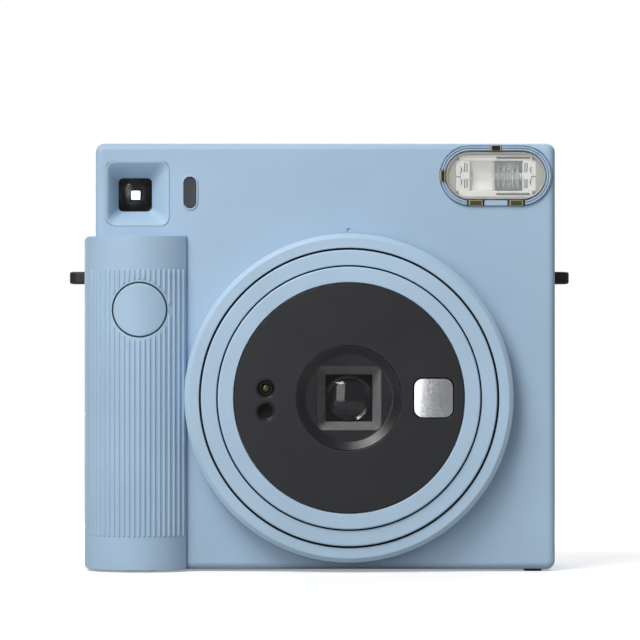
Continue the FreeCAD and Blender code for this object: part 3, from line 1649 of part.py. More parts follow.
def film_door():
    left, right = S.door_left, S.door_right
    centre = ((left + right) / 2, (S.door_bottom + S.door_top) / 2)
    y = (S.door_front_y, S.door_back_y)
    body = plate("DoorPanel", rounded, y, centre, right - left, S.door_top - S.door_bottom, S.door_corner)
    round_edges(body, "DoorEdge", S.edge_radius / 2, at_depth(S.door_back_y))
    window = (S.film_window_x, S.film_window_z)
    opening(
        body, "DoorWindowHole", (y[0] - PAST, y[1] + PAST), stadium, window,
        S.film_window_width + S.play, S.film_window_height + S.play,
    )
    inset = S.door_rim_inset
    rim_y = (S.door_front_y - S.door_rim_depth, S.door_front_y)
    outer = [
        (S.chamber_left + inset, S.chamber_right - inset),
        (S.chamber_bottom + inset, S.chamber_top - inset),
    ]
    rim_outer = box("DoorRimOuter", outer[0], rim_y, outer[1])
    rim = S.door_rim
    rim_inner = box(
        "DoorRimInner",
        (outer[0][0] + rim, outer[0][1] - rim),
        (rim_y[0] - PAST, rim_y[1]),
        (outer[1][0] + rim, outer[1][1] - rim),
    )
    rim_ring = cut("DoorRim", rim_outer, rim_inner)
    solid = fuse("DoorWithHinge", body, rim_ring, *hinge_knuckles("Door", door_knuckle_spans(), 1))
    bore = rod(
        "DoorHingeBore",
        "Z",
        (S.door_hinge_x, S.door_hinge_y),
        S.door_pin_radius + S.fit_clearance,
        (S.door_bottom - PAST, S.door_top + PAST),
    )
    return node(cut("DoorFinished", solid, bore), "film_door")


def film_window():
    y = (S.door_front_y + S.recess, S.door_back_y - S.recess)
    window = (S.film_window_x, S.film_window_z)
    return node(
        plate("FilmWindow", stadium, y, window, S.film_window_width, S.film_window_height),
        "film_window",
    )


def pressure_springs():
    """Two leaf springs inside the door that press the film pack forward."""
    leaves = []
    for i, side in enumerate((-1, 1)):
        middle = S.lens_x + side * S.image_side / 3
        foot = box(
            f"LeafFoot{i}",
            span_about(middle, S.leaf_half_width),
            (S.door_front_y - S.leaf_foot, S.door_front_y),
            span_about(S.lens_z, S.leaf_foot_half),
        )
        crown = box(
            f"LeafCrown{i}",
            span_about(middle, S.leaf_half_width),
            (S.door_front_y - S.leaf_crown, S.door_front_y),
            span_about(S.lens_z, S.leaf_crown_half),
        )
        leaves.append(fuse(f"Leaf{i}", foot, crown))
    return node(fuse("PressureSprings", *leaves), "pressure_springs")


def door_hinge_pin():
    span = (S.door_bottom, S.door_top)
    return node(
        rod("DoorPin", "Z", (S.door_hinge_x, S.door_hinge_y), S.door_pin_radius, span),
        "door_hinge_pin",
    )


def door_latch():
    """A thumb slide on the side wall with a hook plate behind it."""
    outside = S.body_right + S.stand_off
    top_of_thumb = outside + S.latch_thumb
    y = (S.latch_y, S.latch_y + S.latch_depth)
    z = (S.latch_z, S.latch_z + S.latch_height)
    thumb = box("LatchThumb", (outside, top_of_thumb), y, z)
    pitch = S.latch_height / (S.latch_ridges + 1)
    ridges = [
        box(
            f"LatchRidge{i}",
            (top_of_thumb, top_of_thumb + S.latch_ridge),
            (y[0] + S.latch_ridge_inset, y[1] - S.latch_ridge_inset),
            span_about(S.latch_z + pitch * (i + 1), S.latch_ridge_half),
        )
        for i in range(int(S.latch_ridges))
    ]
    inside = S.body_right - S.wall - S.gap
    neck = box(
        "LatchNeck",
        (inside - S.ledge, outside),
        (y[0] + S.gap * 3, y[1] - S.gap * 3),
        (z[0] + S.latch_neck_inset, z[1] - S.latch_neck_inset),
    )
    hook = box(
        "LatchHook",
        (inside - S.ledge, inside),
        (y[0] - S.ledge, y[1] + S.ledge),
        (z[0] - S.latch_hook_below, z[1] + S.latch_hook_above),
    )
    return node(fuse("DoorLatch", thumb, neck, hook, *ridges), "door_latch")


# ---- batteries ----


def battery_holder():
    """The open tub that both cells slide into from the side."""
    wall = S.holder_wall
    tub = box(
        "BatteryTub",
        (S.battery_left, S.battery_right),
        (S.battery_front_y, S.battery_rear_y),
        (S.battery_bottom, S.battery_top),
    )
    room = box(
        "BatteryRoom",
        (S.battery_left - PAST, S.battery_right - wall),
        (S.battery_front_y + wall, S.battery_rear_y - wall),
        (S.battery_bottom + wall, S.battery_top - wall),
    )
    return node(cut("BatteryHolder", tub, room), "battery_holder")


def battery_cells():
    cells = []
    for i, y in enumerate((S.cell_front_y, S.cell_back_y)):
        top = S.cell_bottom + S.cell_length
        can = rod(f"CellCan{i}", "Z", (S.cell_x, y), S.cell_radius, (S.cell_bottom, top - 0.8))
        tip = rod(f"CellTip{i}", "Z", (S.cell_x, y), S.cell_radius * 0.35, (top - 0.8, top))
        cells.append(fuse(f"Cell{i}", can, tip))
    return node(fuse("BatteryCells", *cells), "battery_cells")


def battery_contacts():
    """A leaf at each end of each cell."""
    leaves = []
    floor = S.battery_bottom + S.holder_wall
    ceiling = S.battery_top - S.holder_wall
    top = S.cell_bottom + S.cell_length
    for y in (S.cell_front_y, S.cell_back_y):
        for z in ((floor, S.cell_bottom), (top, ceiling)):
            name = f"Contact{len(leaves)}"
            leaves.append(
                box(name, span_about(S.cell_x, S.cell_radius / 2), span_about(y, S.cell_radius / 3), z)
            )
    return node(fuse("BatteryContacts", *leaves), "battery_contacts")


def battery_door():
    x = (S.grip_left, S.grip_left + S.battery_door)
    z = (S.battery_door_bottom, S.battery_door_top)
    block = box("BatteryDoorBlock", x, (S.battery_door_front_y, S.battery_hinge_y), z)
    panel = common("BatteryDoorPanel", block, grip_arch("Door", S.grip_arch_radius, S.grip_rear))
    hinge = (S.battery_hinge_x, S.battery_hinge_y)
    knuckle = rod("BatteryKnuckle", "Z", hinge, S.battery_knuckle_radius, z)
    bore = rod(
        "BatteryDoorBore",
        "Z",
        hinge,
        S.battery_pin_radius + S.fit_clearance,
        (z[0] - PAST, z[1] + PAST),
    )
    nail_y = S.battery_door_front_y + S.nail_groove_inset
    nail = box(
        "BatteryNailGroove",
        (S.grip_left - PAST, S.grip_left + S.nail_groove_depth),
        (nail_y, nail_y + S.nail_groove_width),
        span_about((z[0] + z[1]) / 2, S.nail_groove_half),
    )
    solid = fuse("BatteryDoorSolid", panel, knuckle)
    return node(cut("BatteryDoor", solid, bore, nail), "battery_door")


def battery_door_pin():
    hinge = (S.battery_hinge_x, S.battery_hinge_y)
    return node(rod("BatteryPin", "Z", hinge, S.battery_pin_radius, battery_pin_span()), "battery_door_pin")


# ---- picture counter ----


def counter_dial():
    y = (S.counter_y, S.counter_y + S.counter_thickness)
    disc = rod("CounterDisc", "Y", (S.counter_x, S.counter_z), S.counter_radius, y)
    bore = rod(
        "CounterBore",
        "Y",
        (S.counter_x, S.counter_z),
        S.counter_hub + S.fit_clearance,
        (y[0] - PAST, y[1] + PAST),
    )
    return node(cut("CounterDial", disc, bore), "counter_dial")


def counter_post():
    y = (S.counter_y - 2, S.back_y - S.wall)
    post = rod("CounterPost", "Y", (S.counter_x, S.counter_z), S.counter_hub, y)
    foot = rod("CounterFoot", "Y", (S.counter_x, S.counter_z), S.counter_hub * 2, (S.counter_y + 1.5, y[1]))
    return node(fuse("CounterAxle", post, foot), "counter_axle")


def counter_window():
    y = (S.back_y - S.wall + S.recess, S.back_y - S.play)
    centre = (S.counter_x, S.counter_z + S.counter_window_rise)
    body = plate(
        "CounterWindow", rounded, y, centre,
        S.counter_window_width - S.play, S.counter_window_height - S.play, S.corner_radius / 2,
    )
    return node(body, "counter_window")


def build():
    front_cover()
    rear_cover()
    grip_cover()
    strap_lugs()
    feet()
    case_screws()
    viewfinder_bezel()
    viewfinder_tunnel()
    viewfinder_front_lens()
    viewfinder_eyepiece()
    eyepiece_frame()
    light_meter_window()
    flash_bezel()
    flash_window()
    flash_reflector()
    flash_tube()
    flash_capacitor()
    main_circuit_board()
    dial_ring()
    outer_barrel()
    inner_barrel()
    lens_panel()
    selfie_mirror()
    sensor("exposure_sensor", panel_spots()["upper"], 0.5)
    sensor("distance_sensor", panel_spots()["lower"], 2.0)
    lens_hood()
    lens("front_lens", S.front_lens_radius, S.front_lens_y, S.front_lens_back_y, S.front_lens_curve)
    lens("rear_lens", S.rear_lens_radius, S.rear_lens_y, S.rear_lens_back_y, S.rear_lens_curve)
    lens_holder()
    shutter_plate()
    shutter_blade("shutter_blade_left", -1, 1)
    shutter_blade("shutter_blade_right", 1, 2)
    shutter_button()
    shutter_switch()
    film_chamber()
    light_tunnel()
    roller("front_roller", -1)
    roller("rear_roller", 1)
    film_gears()
    roller_bracket()
    drive_motor()
    pick_claw()
    exit_flap()
    film_door()
    film_window()
    pressure_springs()
    door_hinge_pin()
    door_latch()
    battery_holder()
    battery_cells()
    battery_contacts()
    battery_door()
    battery_door_pin()
    counter_dial()
    counter_post()
    counter_window()


def check():
    doc.recompute()
    for obj in doc.Objects:
        if "Invalid" in obj.State or "Error" in obj.State:
            raise RuntimeError(f"{obj.Label} did not recompute: {obj.State}")
    for obj in NODES:
        if obj.Shape.isNull() or not obj.Shape.isValid() or obj.Shape.Volume <= 0:
            raise RuntimeError(f"{obj.Label} has no valid shape")


def export():
    os.makedirs("parts", exist_ok=True)
    for obj in NODES:
        obj.Shape.exportStep(os.path.join("parts", f"{obj.Label}.step"))


build()
check()
export()
print(len(NODES), "sub-parts")
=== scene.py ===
import json
import math

import bmesh
import bpy
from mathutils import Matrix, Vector


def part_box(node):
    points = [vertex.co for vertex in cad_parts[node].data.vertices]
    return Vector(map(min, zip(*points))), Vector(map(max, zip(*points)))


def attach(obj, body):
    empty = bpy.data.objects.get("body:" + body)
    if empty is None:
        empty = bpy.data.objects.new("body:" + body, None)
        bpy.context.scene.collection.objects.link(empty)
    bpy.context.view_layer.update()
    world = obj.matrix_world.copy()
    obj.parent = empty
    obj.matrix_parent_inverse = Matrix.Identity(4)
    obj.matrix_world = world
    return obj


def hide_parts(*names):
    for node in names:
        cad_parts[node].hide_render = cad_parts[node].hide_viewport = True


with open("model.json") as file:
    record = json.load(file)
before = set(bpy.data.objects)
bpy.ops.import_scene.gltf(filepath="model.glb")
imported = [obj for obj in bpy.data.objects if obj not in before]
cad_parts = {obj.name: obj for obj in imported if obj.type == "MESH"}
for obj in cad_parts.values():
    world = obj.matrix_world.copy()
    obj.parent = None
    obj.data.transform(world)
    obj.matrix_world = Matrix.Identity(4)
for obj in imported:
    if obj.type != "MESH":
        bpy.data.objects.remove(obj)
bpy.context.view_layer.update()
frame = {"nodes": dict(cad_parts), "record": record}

# Sizes are in millimetres, and turned into metres where a mesh is made. The materials, the lights,
# the camera and the floor's fading are in metres.
# The lens looks along -Y, +Z is up and +X is to the right as the lens side is faced.
MM = 0.001
ROUND_STEPS = 10
LATHE_STEPS = 192
SHARP = math.radians(34)


def span_of(node):
    """A CAD node's lowest and highest corner, in millimetres."""
    low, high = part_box(node)
    return low / MM, high / MM


def middle_of(node):
    low, high = span_of(node)
    return (low + high) / 2


def face_of(node):
    """A node's middle (x, z), width and height, and the depths of its front and back."""
    low, high = span_of(node)
    centre = ((low.x + high.x) / 2, (low.z + high.z) / 2)
    return centre, high.x - low.x, high.z - low.z, low.y, high.y


def sag(curve, reach):
    """How far a round surface of that radius has fallen away at a reach from its crown."""
    return curve - math.sqrt(curve**2 - reach**2)


def between(first, last, share):
    return first + (last - first) * share


# ---- outlines in the X-Z plane: lists of (x, z) ----


def rounded(centre, width, height, corner, side_steps=1):
    """A rectangle with round corners, its straight sides divided into side_steps runs."""
    corner = min(corner, width / 2, height / 2)
    points = []
    for quarter, (side_x, side_z) in enumerate(((1, 1), (-1, 1), (-1, -1), (1, -1))):
        x = centre[0] + side_x * (width / 2 - corner)
        z = centre[1] + side_z * (height / 2 - corner)
        for step in range(ROUND_STEPS + 1):
            angle = math.pi / 2 * (quarter + step / ROUND_STEPS)
            points.append((x + corner * math.cos(angle), z + corner * math.sin(angle)))
    if side_steps == 1:
        return points
    divided = []
    for i, here in enumerate(points):
        divided.append(here)
        if (i + 1) % (ROUND_STEPS + 1) == 0:
            after = points[(i + 1) % len(points)]
            for k in range(1, side_steps):
                t = k / side_steps
                divided.append(tuple(between(a, b, t) for a, b in zip(here, after)))
    return divided


def stadium(centre, width, height, inset=0.0):
    return rounded(centre, width - 2 * inset, height - 2 * inset, height / 2 - inset)


def circle(centre, radius, steps=LATHE_STEPS):
    turns = [2 * math.pi * i / steps for i in range(steps)]
    return [(centre[0] + radius * math.cos(a), centre[1] + radius * math.sin(a)) for a in turns]


# ---- mesh making ----


def mesh_from(name, points, faces):
    mesh = bpy.data.meshes.new(name)
    mesh.from_pydata([Vector(p) * MM for p in points], [], faces)
    mesh.validate()
    return mesh


def finish_mesh(mesh, sharp=SHARP):
    """Points every face outward and shades it smooth, with sharp edges kept."""
    work = bmesh.new()
    work.from_mesh(mesh)
    bmesh.ops.remove_doubles(work, verts=work.verts, dist=1e-7)
    bmesh.ops.recalc_face_normals(work, faces=work.faces)
    work.to_mesh(mesh)
    work.free()
    mesh.polygons.foreach_set("use_smooth", [True] * len(mesh.polygons))
    mesh.set_sharp_from_angle(angle=sharp)
    return mesh


def piece(name, mesh, finish, body, replaces=()):
    """A piece of the camera that rides on a body and may stand for CAD nodes."""
    thing = bpy.data.objects.new(name, finish_mesh(mesh))
    bpy.context.scene.collection.objects.link(thing)
    thing.data.materials.append(paint[finish])
    normals = thing.modifiers.new("even_normals", "WEIGHTED_NORMAL")
    normals.keep_sharp = True
    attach(thing, body)
    if replaces:
        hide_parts(*replaces)
    return thing


def loft(name, sections, closed=False):
    """Quads between outlines with as many points each.

    closed joins the last outline to the first; otherwise both ends are capped.
    """
    count = len(sections[0])
    points = [p for section in sections for p in section]
    faces = []
    for row in range(len(sections) if closed else len(sections) - 1):
        a, b = row * count, (row + 1) % len(sections) * count
        for i in range(count):
            j = (i + 1) % count
            faces.append((a + i, a + j, b + j, b + i))
    if not closed:
        faces.append(tuple(range(count)))
        faces.append(tuple(range(len(points) - count, len(points))))
    return mesh_from(name, points, faces)


def at_depth(outline, y):
    return [(x, y, z) for x, z in outline]


def stadium_loft(name, centre, width, height, profile, closed=False):
    """A loft of stadiums; the profile gives how far each is inset, and its depth."""
    sections = [at_depth(stadium(centre, width, height, by), y) for by, y in profile]
    return loft(name, sections, closed)


def softened(profile, radius, steps=5):
    """A closed profile of (r, y) with its corners rounded by an arc of up to that radius."""
    result = []
    for i, corner in enumerate(profile):
        here = Vector(corner)
        before, after = Vector(profile[i - 1]) - here, Vector(profile[(i + 1) % len(profile)]) - here
        turn = before.angle(after)
        reach = min(radius / math.tan(turn / 2), before.length / 2.2, after.length / 2.2)
        start, end = here + before.normalized() * reach, here + after.normalized() * reach
        for step in range(steps + 1):
            t = step / steps
            result.append(tuple((1 - t) ** 2 * start + 2 * t * (1 - t) * here + t**2 * end))
    return result


def lathe(name, profile, centre, closed=True, steps=LATHE_STEPS):
    """Turns a profile of (radius, y) about a line along Y. An open profile starts or ends on the line."""
    least = 0.0005
    sections = [at_depth(circle(centre, max(radius, least), steps), y) for radius, y in profile]
    return loft(name, sections, closed)


def plate(name, outer, holes, front, back, edge, along="Y"):
    """A flat plate with holes and rounded edges.

    An outline is a function that gives itself made smaller by its argument, so a hole grows.
    """
    flat = bpy.data.curves.new(name, "CURVE")
    flat.dimensions = "2D"
    flat.fill_mode = "BOTH"
    flat.bevel_depth = edge
    flat.bevel_resolution = 3
    flat.extrude = (back - front) / 2 - edge
    for outline in [outer(edge)] + [hole(-edge) for hole in holes]:
        # a point twice over would bend the rounded edge
        before = outline[-1:] + outline[:-1]
        apart = [here for here, last in zip(outline, before) if math.dist(here, last) > 0.001]
        line = flat.splines.new("POLY")
        line.points.add(len(apart) - 1)
        for point, (u, v) in zip(line.points, apart):
            point.co = (u, v, 0, 1)
        line.use_cyclic_u = True
    mesh = mesh_of_curve(name + "_line", flat)
    middle = (front + back) / 2
    for vertex in mesh.vertices:
        u, v, w = vertex.co
        at = (u, middle - w, v) if along == "Y" else (u, v, middle + w)
        vertex.co = Vector(at) * MM
    mesh.materials.clear()
    return mesh


def mesh_of_curve(name, curve):
    """The mesh of a curve or a text, which are not kept."""
    maker = bpy.data.objects.new(name, curve)
    bpy.context.scene.collection.objects.link(maker)
    bpy.context.view_layer.update()
    depsgraph = bpy.context.evaluated_depsgraph_get()
    mesh = bpy.data.meshes.new_from_object(maker.evaluated_get(depsgraph))
    bpy.data.objects.remove(maker)
    bpy.data.curves.remove(curve)
    return mesh


def inset_shape(shape, *sizes):
    """A function that gives the outline made smaller by its argument all round."""
    return lambda by: shape(by, *sizes)


def round_rect_shape(by, centre, width, height, corner):
    sharpest = 0.05
    return rounded(centre, width - 2 * by, height - 2 * by, max(corner - by, sharpest))


def stadium_shape(by, centre, width, height):
    return stadium(centre, width, height, by)


def disc_shape(by, centre, radius, steps=LATHE_STEPS):
    return circle(centre, radius - by, steps)


# ---- materials ----


paint = {}


def new_material(name):
    """Adds a material to paint, and gives its nodes, its links and its main shader."""
    material = bpy.data.materials.new(name)
    material.use_nodes = True
    paint[name] = material
    nodes = material.node_tree.nodes
    return nodes, material.node_tree.links, nodes["Principled BSDF"]


def noise(nodes, links, scale, detail=3.0, stretch=None):
    """A noise texture in the part's own metres; stretch draws it out along an axis."""
    place = nodes.new("ShaderNodeTexCoord")
    texture = nodes.new("ShaderNodeTexNoise")
    texture.inputs["Scale"].default_value = scale
    texture.inputs["Detail"].default_value = detail
    source = place.outputs["Object"]
    if stretch:
        mapping = nodes.new("ShaderNodeMapping")
        mapping.inputs["Scale"].default_value = stretch
        links.new(source, mapping.inputs["Vector"])
        source = mapping.outputs["Vector"]
    links.new(source, texture.inputs["Vector"])
    return texture.outputs["Fac"]


def ranged(nodes, links, source, low, high, from_low=0.3, from_high=0.7):
    spread = nodes.new("ShaderNodeMapRange")
    spread.inputs["From Min"].default_value = from_low
    spread.inputs["From Max"].default_value = from_high
    spread.inputs["To Min"].default_value = low
    spread.inputs["To Max"].default_value = high
    links.new(source, spread.inputs["Value"])
    return spread.outputs["Result"]


def blended(nodes, links, amount, first, second):
    """A colour between two colours; either may be a socket."""
    mix = nodes.new("ShaderNodeMix")
    mix.data_type = "RGBA"
    links.new(amount, mix.inputs[0])
    for socket, value in ((mix.inputs[6], first), (mix.inputs[7], second)):
        if isinstance(value, bpy.types.NodeSocket):
            links.new(value, socket)
        else:
            socket.default_value = (*value, 1.0)
    return mix.outputs[2]


def edge_mask(nodes, links, radius):
    """One on a worn edge and nought on a flat, and the normal that rounds the edge."""
    rounder = nodes.new("ShaderNodeBevel")
    rounder.samples = 6
    rounder.inputs["Radius"].default_value = radius
    surface = nodes.new("ShaderNodeNewGeometry")
    dot = nodes.new("ShaderNodeVectorMath")
    dot.operation = "DOT_PRODUCT"
    links.new(rounder.outputs["Normal"], dot.inputs[0])
    links.new(surface.outputs["Normal"], dot.inputs[1])
    return ranged(nodes, links, dot.outputs["Value"], 1.0, 0.0, 0.82, 0.995), rounder.outputs["Normal"]


def plastic(name, colour, roughness, depth=0.000012, wear=0.16):
    """Moulded plastic with a spark-eroded grain, slow drift in tone, and edges polished by handling."""
    nodes, links, shader = new_material(name)
    edge, grain, swing = 0.00035, 2600, 0.045
    drift = noise(nodes, links, 38, 2)
    light = [min(1.0, c * (1 + swing)) for c in colour]
    dark = [c * (1 - swing) for c in colour]
    tone = blended(nodes, links, ranged(nodes, links, drift, 0, 1), dark, light)
    worn, soft_normal = edge_mask(nodes, links, edge)
    patchy = nodes.new("ShaderNodeMath")
    patchy.operation = "MULTIPLY"
    links.new(worn, patchy.inputs[0])
    links.new(ranged(nodes, links, noise(nodes, links, 420, 4), 0.2, 1.0), patchy.inputs[1])
    faded = [c + (1 - c) * wear for c in colour]
    links.new(blended(nodes, links, patchy.outputs[0], tone, faded), shader.inputs["Base Color"])
    fine = noise(nodes, links, grain, 2)
    links.new(
        ranged(nodes, links, noise(nodes, links, 160, 4), roughness - 0.05, roughness + 0.05),
        shader.inputs["Roughness"],
    )
    bump = nodes.new("ShaderNodeBump")
    bump.inputs["Strength"].default_value = 0.3
    bump.inputs["Distance"].default_value = depth
    links.new(fine, bump.inputs["Height"])
    links.new(soft_normal, bump.inputs["Normal"])
    links.new(bump.outputs["Normal"], shader.inputs["Normal"])
    shader.inputs["IOR"].default_value = 1.5


def metal(name, colour, roughness, stretch=(1, 1, 1), depth=0.000004, spread=0.07):
    """Metal with a fine drawn or turned grain."""
    nodes, links, shader = new_material(name)
    shader.inputs["Metallic"].default_value = 1.0
    grain = noise(nodes, links, 1800, 4, stretch)
    dark = [c * 0.88 for c in colour]
    tone = blended(nodes, links, ranged(nodes, links, grain, 0, 1), dark, colour)
    links.new(tone, shader.inputs["Base Color"])
    low = max(roughness - spread, 0.02)
    links.new(ranged(nodes, links, grain, low, roughness + spread), shader.inputs["Roughness"])
    bump = nodes.new("ShaderNodeBump")
    bump.inputs["Strength"].default_value = 0.25
    bump.inputs["Distance"].default_value = depth
    links.new(grain, bump.inputs["Height"])
    links.new(bump.outputs["Normal"], shader.inputs["Normal"])


def glass(name, colour, alpha=1.0, transmission=1.0, roughness=0.02, ior=1.49, specular=0.5):
    """Clear or smoked glass with faint smears from wiping; less specular is coated glass."""
    nodes, links, shader = new_material(name)
    smear = noise(nodes, links, 260, 5, (1, 1, 0.35))
    dark = [c * 0.96 for c in colour]
    tone = blended(nodes, links, ranged(nodes, links, smear, 0, 1), dark, colour)
    links.new(tone, shader.inputs["Base Color"])
    links.new(ranged(nodes, links, smear, roughness, roughness + 0.05), shader.inputs["Roughness"])
    shader.inputs["Transmission Weight"].default_value = transmission
    shader.inputs["IOR"].default_value = ior
    shader.inputs["Specular IOR Level"].default_value = specular
    shader.inputs["Alpha"].default_value = alpha


plastic("blue_shell", (0.385, 0.530, 0.680), 0.52)
plastic("blue_ring", (0.425, 0.575, 0.725), 0.46)
plastic("black_plastic", (0.014, 0.014, 0.016), 0.48, wear=0.05)
plastic("dark_panel", (0.013, 0.0135, 0.0165), 0.42, wear=0.04)
plastic("hood_black", (0.013, 0.0125, 0.015), 0.32, wear=0.03)
# a grey lighter than the hood's black: painted light for the throat's stepped bottom wall lit from above
plastic("throat_painted_light_grey", (0.105, 0.102, 0.108), 0.50, wear=0.10)
# dull black for the blacked inner parts, and painted shade for the rings down the barrel gaps
plastic("dull_black_and_gap_shade", (0.004, 0.004, 0.005), 0.90, wear=0.0)
plastic("smoked_window", (0.055, 0.058, 0.066), 0.22, depth=0.000003, wear=0.04)
plastic("gear_plastic", (0.78, 0.76, 0.70), 0.38, wear=0.1)
plastic("capacitor_sleeve", (0.035, 0.04, 0.06), 0.25, depth=0.000004)
plastic("rubber_black", (0.024, 0.024, 0.024), 0.78, depth=0.00003, wear=0.03)
plastic("counter_white", (0.82, 0.82, 0.80), 0.5, wear=0.1)
plastic("board_green", (0.02, 0.14, 0.07), 0.34, wear=0.2)
plastic("battery_wrap", (0.10, 0.10, 0.11), 0.3, depth=0.000004, wear=0.3)
plastic("flash_cream", (0.36, 0.35, 0.29), 0.45, wear=0.35)
plastic("flash_white", (0.90, 0.89, 0.84), 0.35, wear=0.1)
plastic("clip_dark", (0.012, 0.014, 0.006), 0.3, wear=0.05)
plastic("clip_gold", (0.42, 0.40, 0.20), 0.35, wear=0.1)
plastic("clip_olive", (0.070, 0.064, 0.026), 0.3, wear=0.1)
metal("electrode", (0.10, 0.10, 0.10), 0.45)
metal("steel", (0.62, 0.62, 0.63), 0.32, (1, 1, 0.08))
metal("brass_gear", (0.78, 0.58, 0.28), 0.28)
metal("silver_mirror", (0.92, 0.93, 0.94), 0.20, spread=0.03, depth=0.000001)
metal("reflector_silver", (0.66, 0.70, 0.71), 0.14, (0.1, 1, 1))
glass("clear_lens", (0.97, 0.98, 0.98))
glass("flash_clear", (0.96, 0.97, 0.96), alpha=0.16, transmission=0.0, roughness=0.04)
glass("lens_glass", (0.92, 0.93, 0.97), ior=1.55, roughness=0.0, specular=0.2)
glass("sensor_glass", (0.14, 0.15, 0.03), transmission=0.6, roughness=0.05)


def smoothing():
    """A modifier group that shades smooth except across sharp edges."""
    group = bpy.data.node_groups.new("smooth_by_angle", "GeometryNodeTree")
    for direction in ("INPUT", "OUTPUT"):
        group.interface.new_socket("Geometry", in_out=direction, socket_type="NodeSocketGeometry")
    nodes, links = group.nodes, group.links
    begin, end = nodes.new("NodeGroupInput"), nodes.new("NodeGroupOutput")
    angle, sharper = nodes.new("GeometryNodeInputMeshEdgeAngle"), nodes.new("FunctionNodeCompare")
    sharper.operation = "LESS_THAN"
    sharper.inputs["B"].default_value = SHARP
    faces, edges = nodes.new("GeometryNodeSetShadeSmooth"), nodes.new("GeometryNodeSetShadeSmooth")
    edges.domain = "EDGE"
    links.new(angle.outputs["Unsigned Angle"], sharper.inputs["A"])
    links.new(begin.outputs[0], faces.inputs["Geometry"])
    links.new(faces.outputs[0], edges.inputs["Geometry"])
    links.new(sharper.outputs["Result"], edges.inputs["Shade Smooth"])
    links.new(edges.outputs[0], end.inputs[0])
    return group


# nodes along the ways that light takes through the finder and the lens, and so dull black
BLACKED = ("viewfinder_tunnel", "lens_holder", "shutter_plate", "shutter_blade_left", "shutter_blade_right")


def dress_cad():
    """Gives every CAD node the material of its slot in the record, or dull black for the blacked nodes, and
    smooth shading.
    """
    group = smoothing()
    for part in frame["record"]["subparts"]:
        node = frame["nodes"][part["node"]]
        finish = "dull_black_and_gap_shade" if part["node"] in BLACKED else part["material_slot"]
        for slot in node.material_slots:
            slot.link = "OBJECT"
            slot.material = paint[finish]
        weld = node.modifiers.new("join_faces", "WELD")
        weld.merge_threshold = 0.002 * MM
        smooth = node.modifiers.new("smooth_by_angle", "NODES")
        smooth.node_group = group
        normals = node.modifiers.new("even_normals", "WEIGHTED_NORMAL")
        normals.keep_sharp = True


# ---- lens dial and barrels ----

LENS = middle_of("front_lens")
LENS_AXIS = (LENS.x, LENS.z)
DIAL_GAP = 0.60
BARREL_GAP = 0.45
EDGE = 0.16


def radius_of(node):
    low, high = span_of(node)
    return (high.z - low.z) / 2


def dial_and_barrels():
    dial_low, dial_high = span_of("dial_ring")
    outer_low, outer_high = span_of("outer_barrel")
    inner_low, inner_high = span_of("inner_barrel")
    dial_r, panel_r = radius_of("dial_ring"), radius_of("lens_panel")
    outer_r, inner_r = radius_of("outer_barrel"), radius_of("inner_barrel")
    # the dial: a broad bevelled face, a side wall that ends just off the cover, and a narrower neck
    face, wall, neck, rim, cover_gap = 2.0, 1.5, 2.45, 1.25, 0.35
    skirt_back = span_of("front_cover")[0].y - cover_gap
    dial = [
        (outer_r + DIAL_GAP, dial_low.y),
        (dial_r - rim, dial_low.y),
        (dial_r, dial_low.y + rim * 0.75),
        (dial_r, skirt_back),
        (dial_r - neck, skirt_back),
        (dial_r - neck, dial_high.y),
        (dial_r - neck - wall, dial_high.y),
        (dial_r - neck - wall, dial_low.y + face),
        (outer_r + DIAL_GAP, dial_low.y + face),
    ]
    mesh = lathe("dial_ring_skin", rounded_profile(dial, {1: 0.4, 2: 0.4}, EDGE), LENS_AXIS)
    piece("dial_ring_skin", mesh, "blue_ring", "lens_dial", ["dial_ring"])
    outer = [
        (inner_r + BARREL_GAP, outer_low.y),
        (outer_r, outer_low.y),
        (outer_r, outer_high.y),
        (inner_r + BARREL_GAP, outer_high.y),
    ]
    mesh = lathe("outer_barrel_skin", rounded_profile(outer, {1: 0.45}, EDGE), LENS_AXIS)
    piece("outer_barrel_skin", mesh, "blue_ring", "barrel_outer", ["outer_barrel"])
    # the inner barrel has an inward ledge behind the panel
    panel_gap, ledge, lip = 0.25, 1.2, 2.0
    inner = [
        (panel_r + panel_gap, inner_low.y),
        (inner_r, inner_low.y),
        (inner_r, inner_high.y),
        (panel_r - ledge, inner_high.y),
        (panel_r - ledge, inner_low.y + lip),
        (panel_r + panel_gap, inner_low.y + lip),
    ]
    mesh = lathe("inner_barrel_skin", rounded_profile(inner, {1: 0.45}, EDGE), LENS_AXIS)
    piece("inner_barrel_skin", mesh, "blue_ring", "barrel_inner", ["inner_barrel"])
    # a black ring down each gap: painted shade for the dark gaps between the dial and the barrels
    light_seal("dial_gap_shade", "lens_dial", outer_r, DIAL_GAP, dial_low.y)
    light_seal("barrel_gap_shade", "barrel_outer", inner_r, BARREL_GAP, outer_low.y)


def light_seal(name, body, radius, gap, front):
    """A black ring a little way down a gap round a sliding barrel: painted shade that makes the gap read
    black.
    """
    clear, overlap, sunk, deep = 0.04, 0.2, 0.42, 1.4
    inside, outside = radius + clear, radius + gap + overlap
    profile = [(inside, front + sunk), (outside, front + sunk)]
    profile += [(outside, front + deep), (inside, front + deep)]
    piece(name, lathe(name, profile, LENS_AXIS), "dull_black_and_gap_shade", body)


def rounded_profile(profile, special, usual):
    """A closed (r, y) profile with its corners rounded; special gives some corners their own radius."""
    steps = 6
    result = []
    for i in range(len(profile)):
        corner = [profile[i - 1], profile[i], profile[(i + 1) % len(profile)]]
        result += softened(corner, special.get(i, usual), steps)[steps + 1 : 2 * (steps + 1)]
    return result


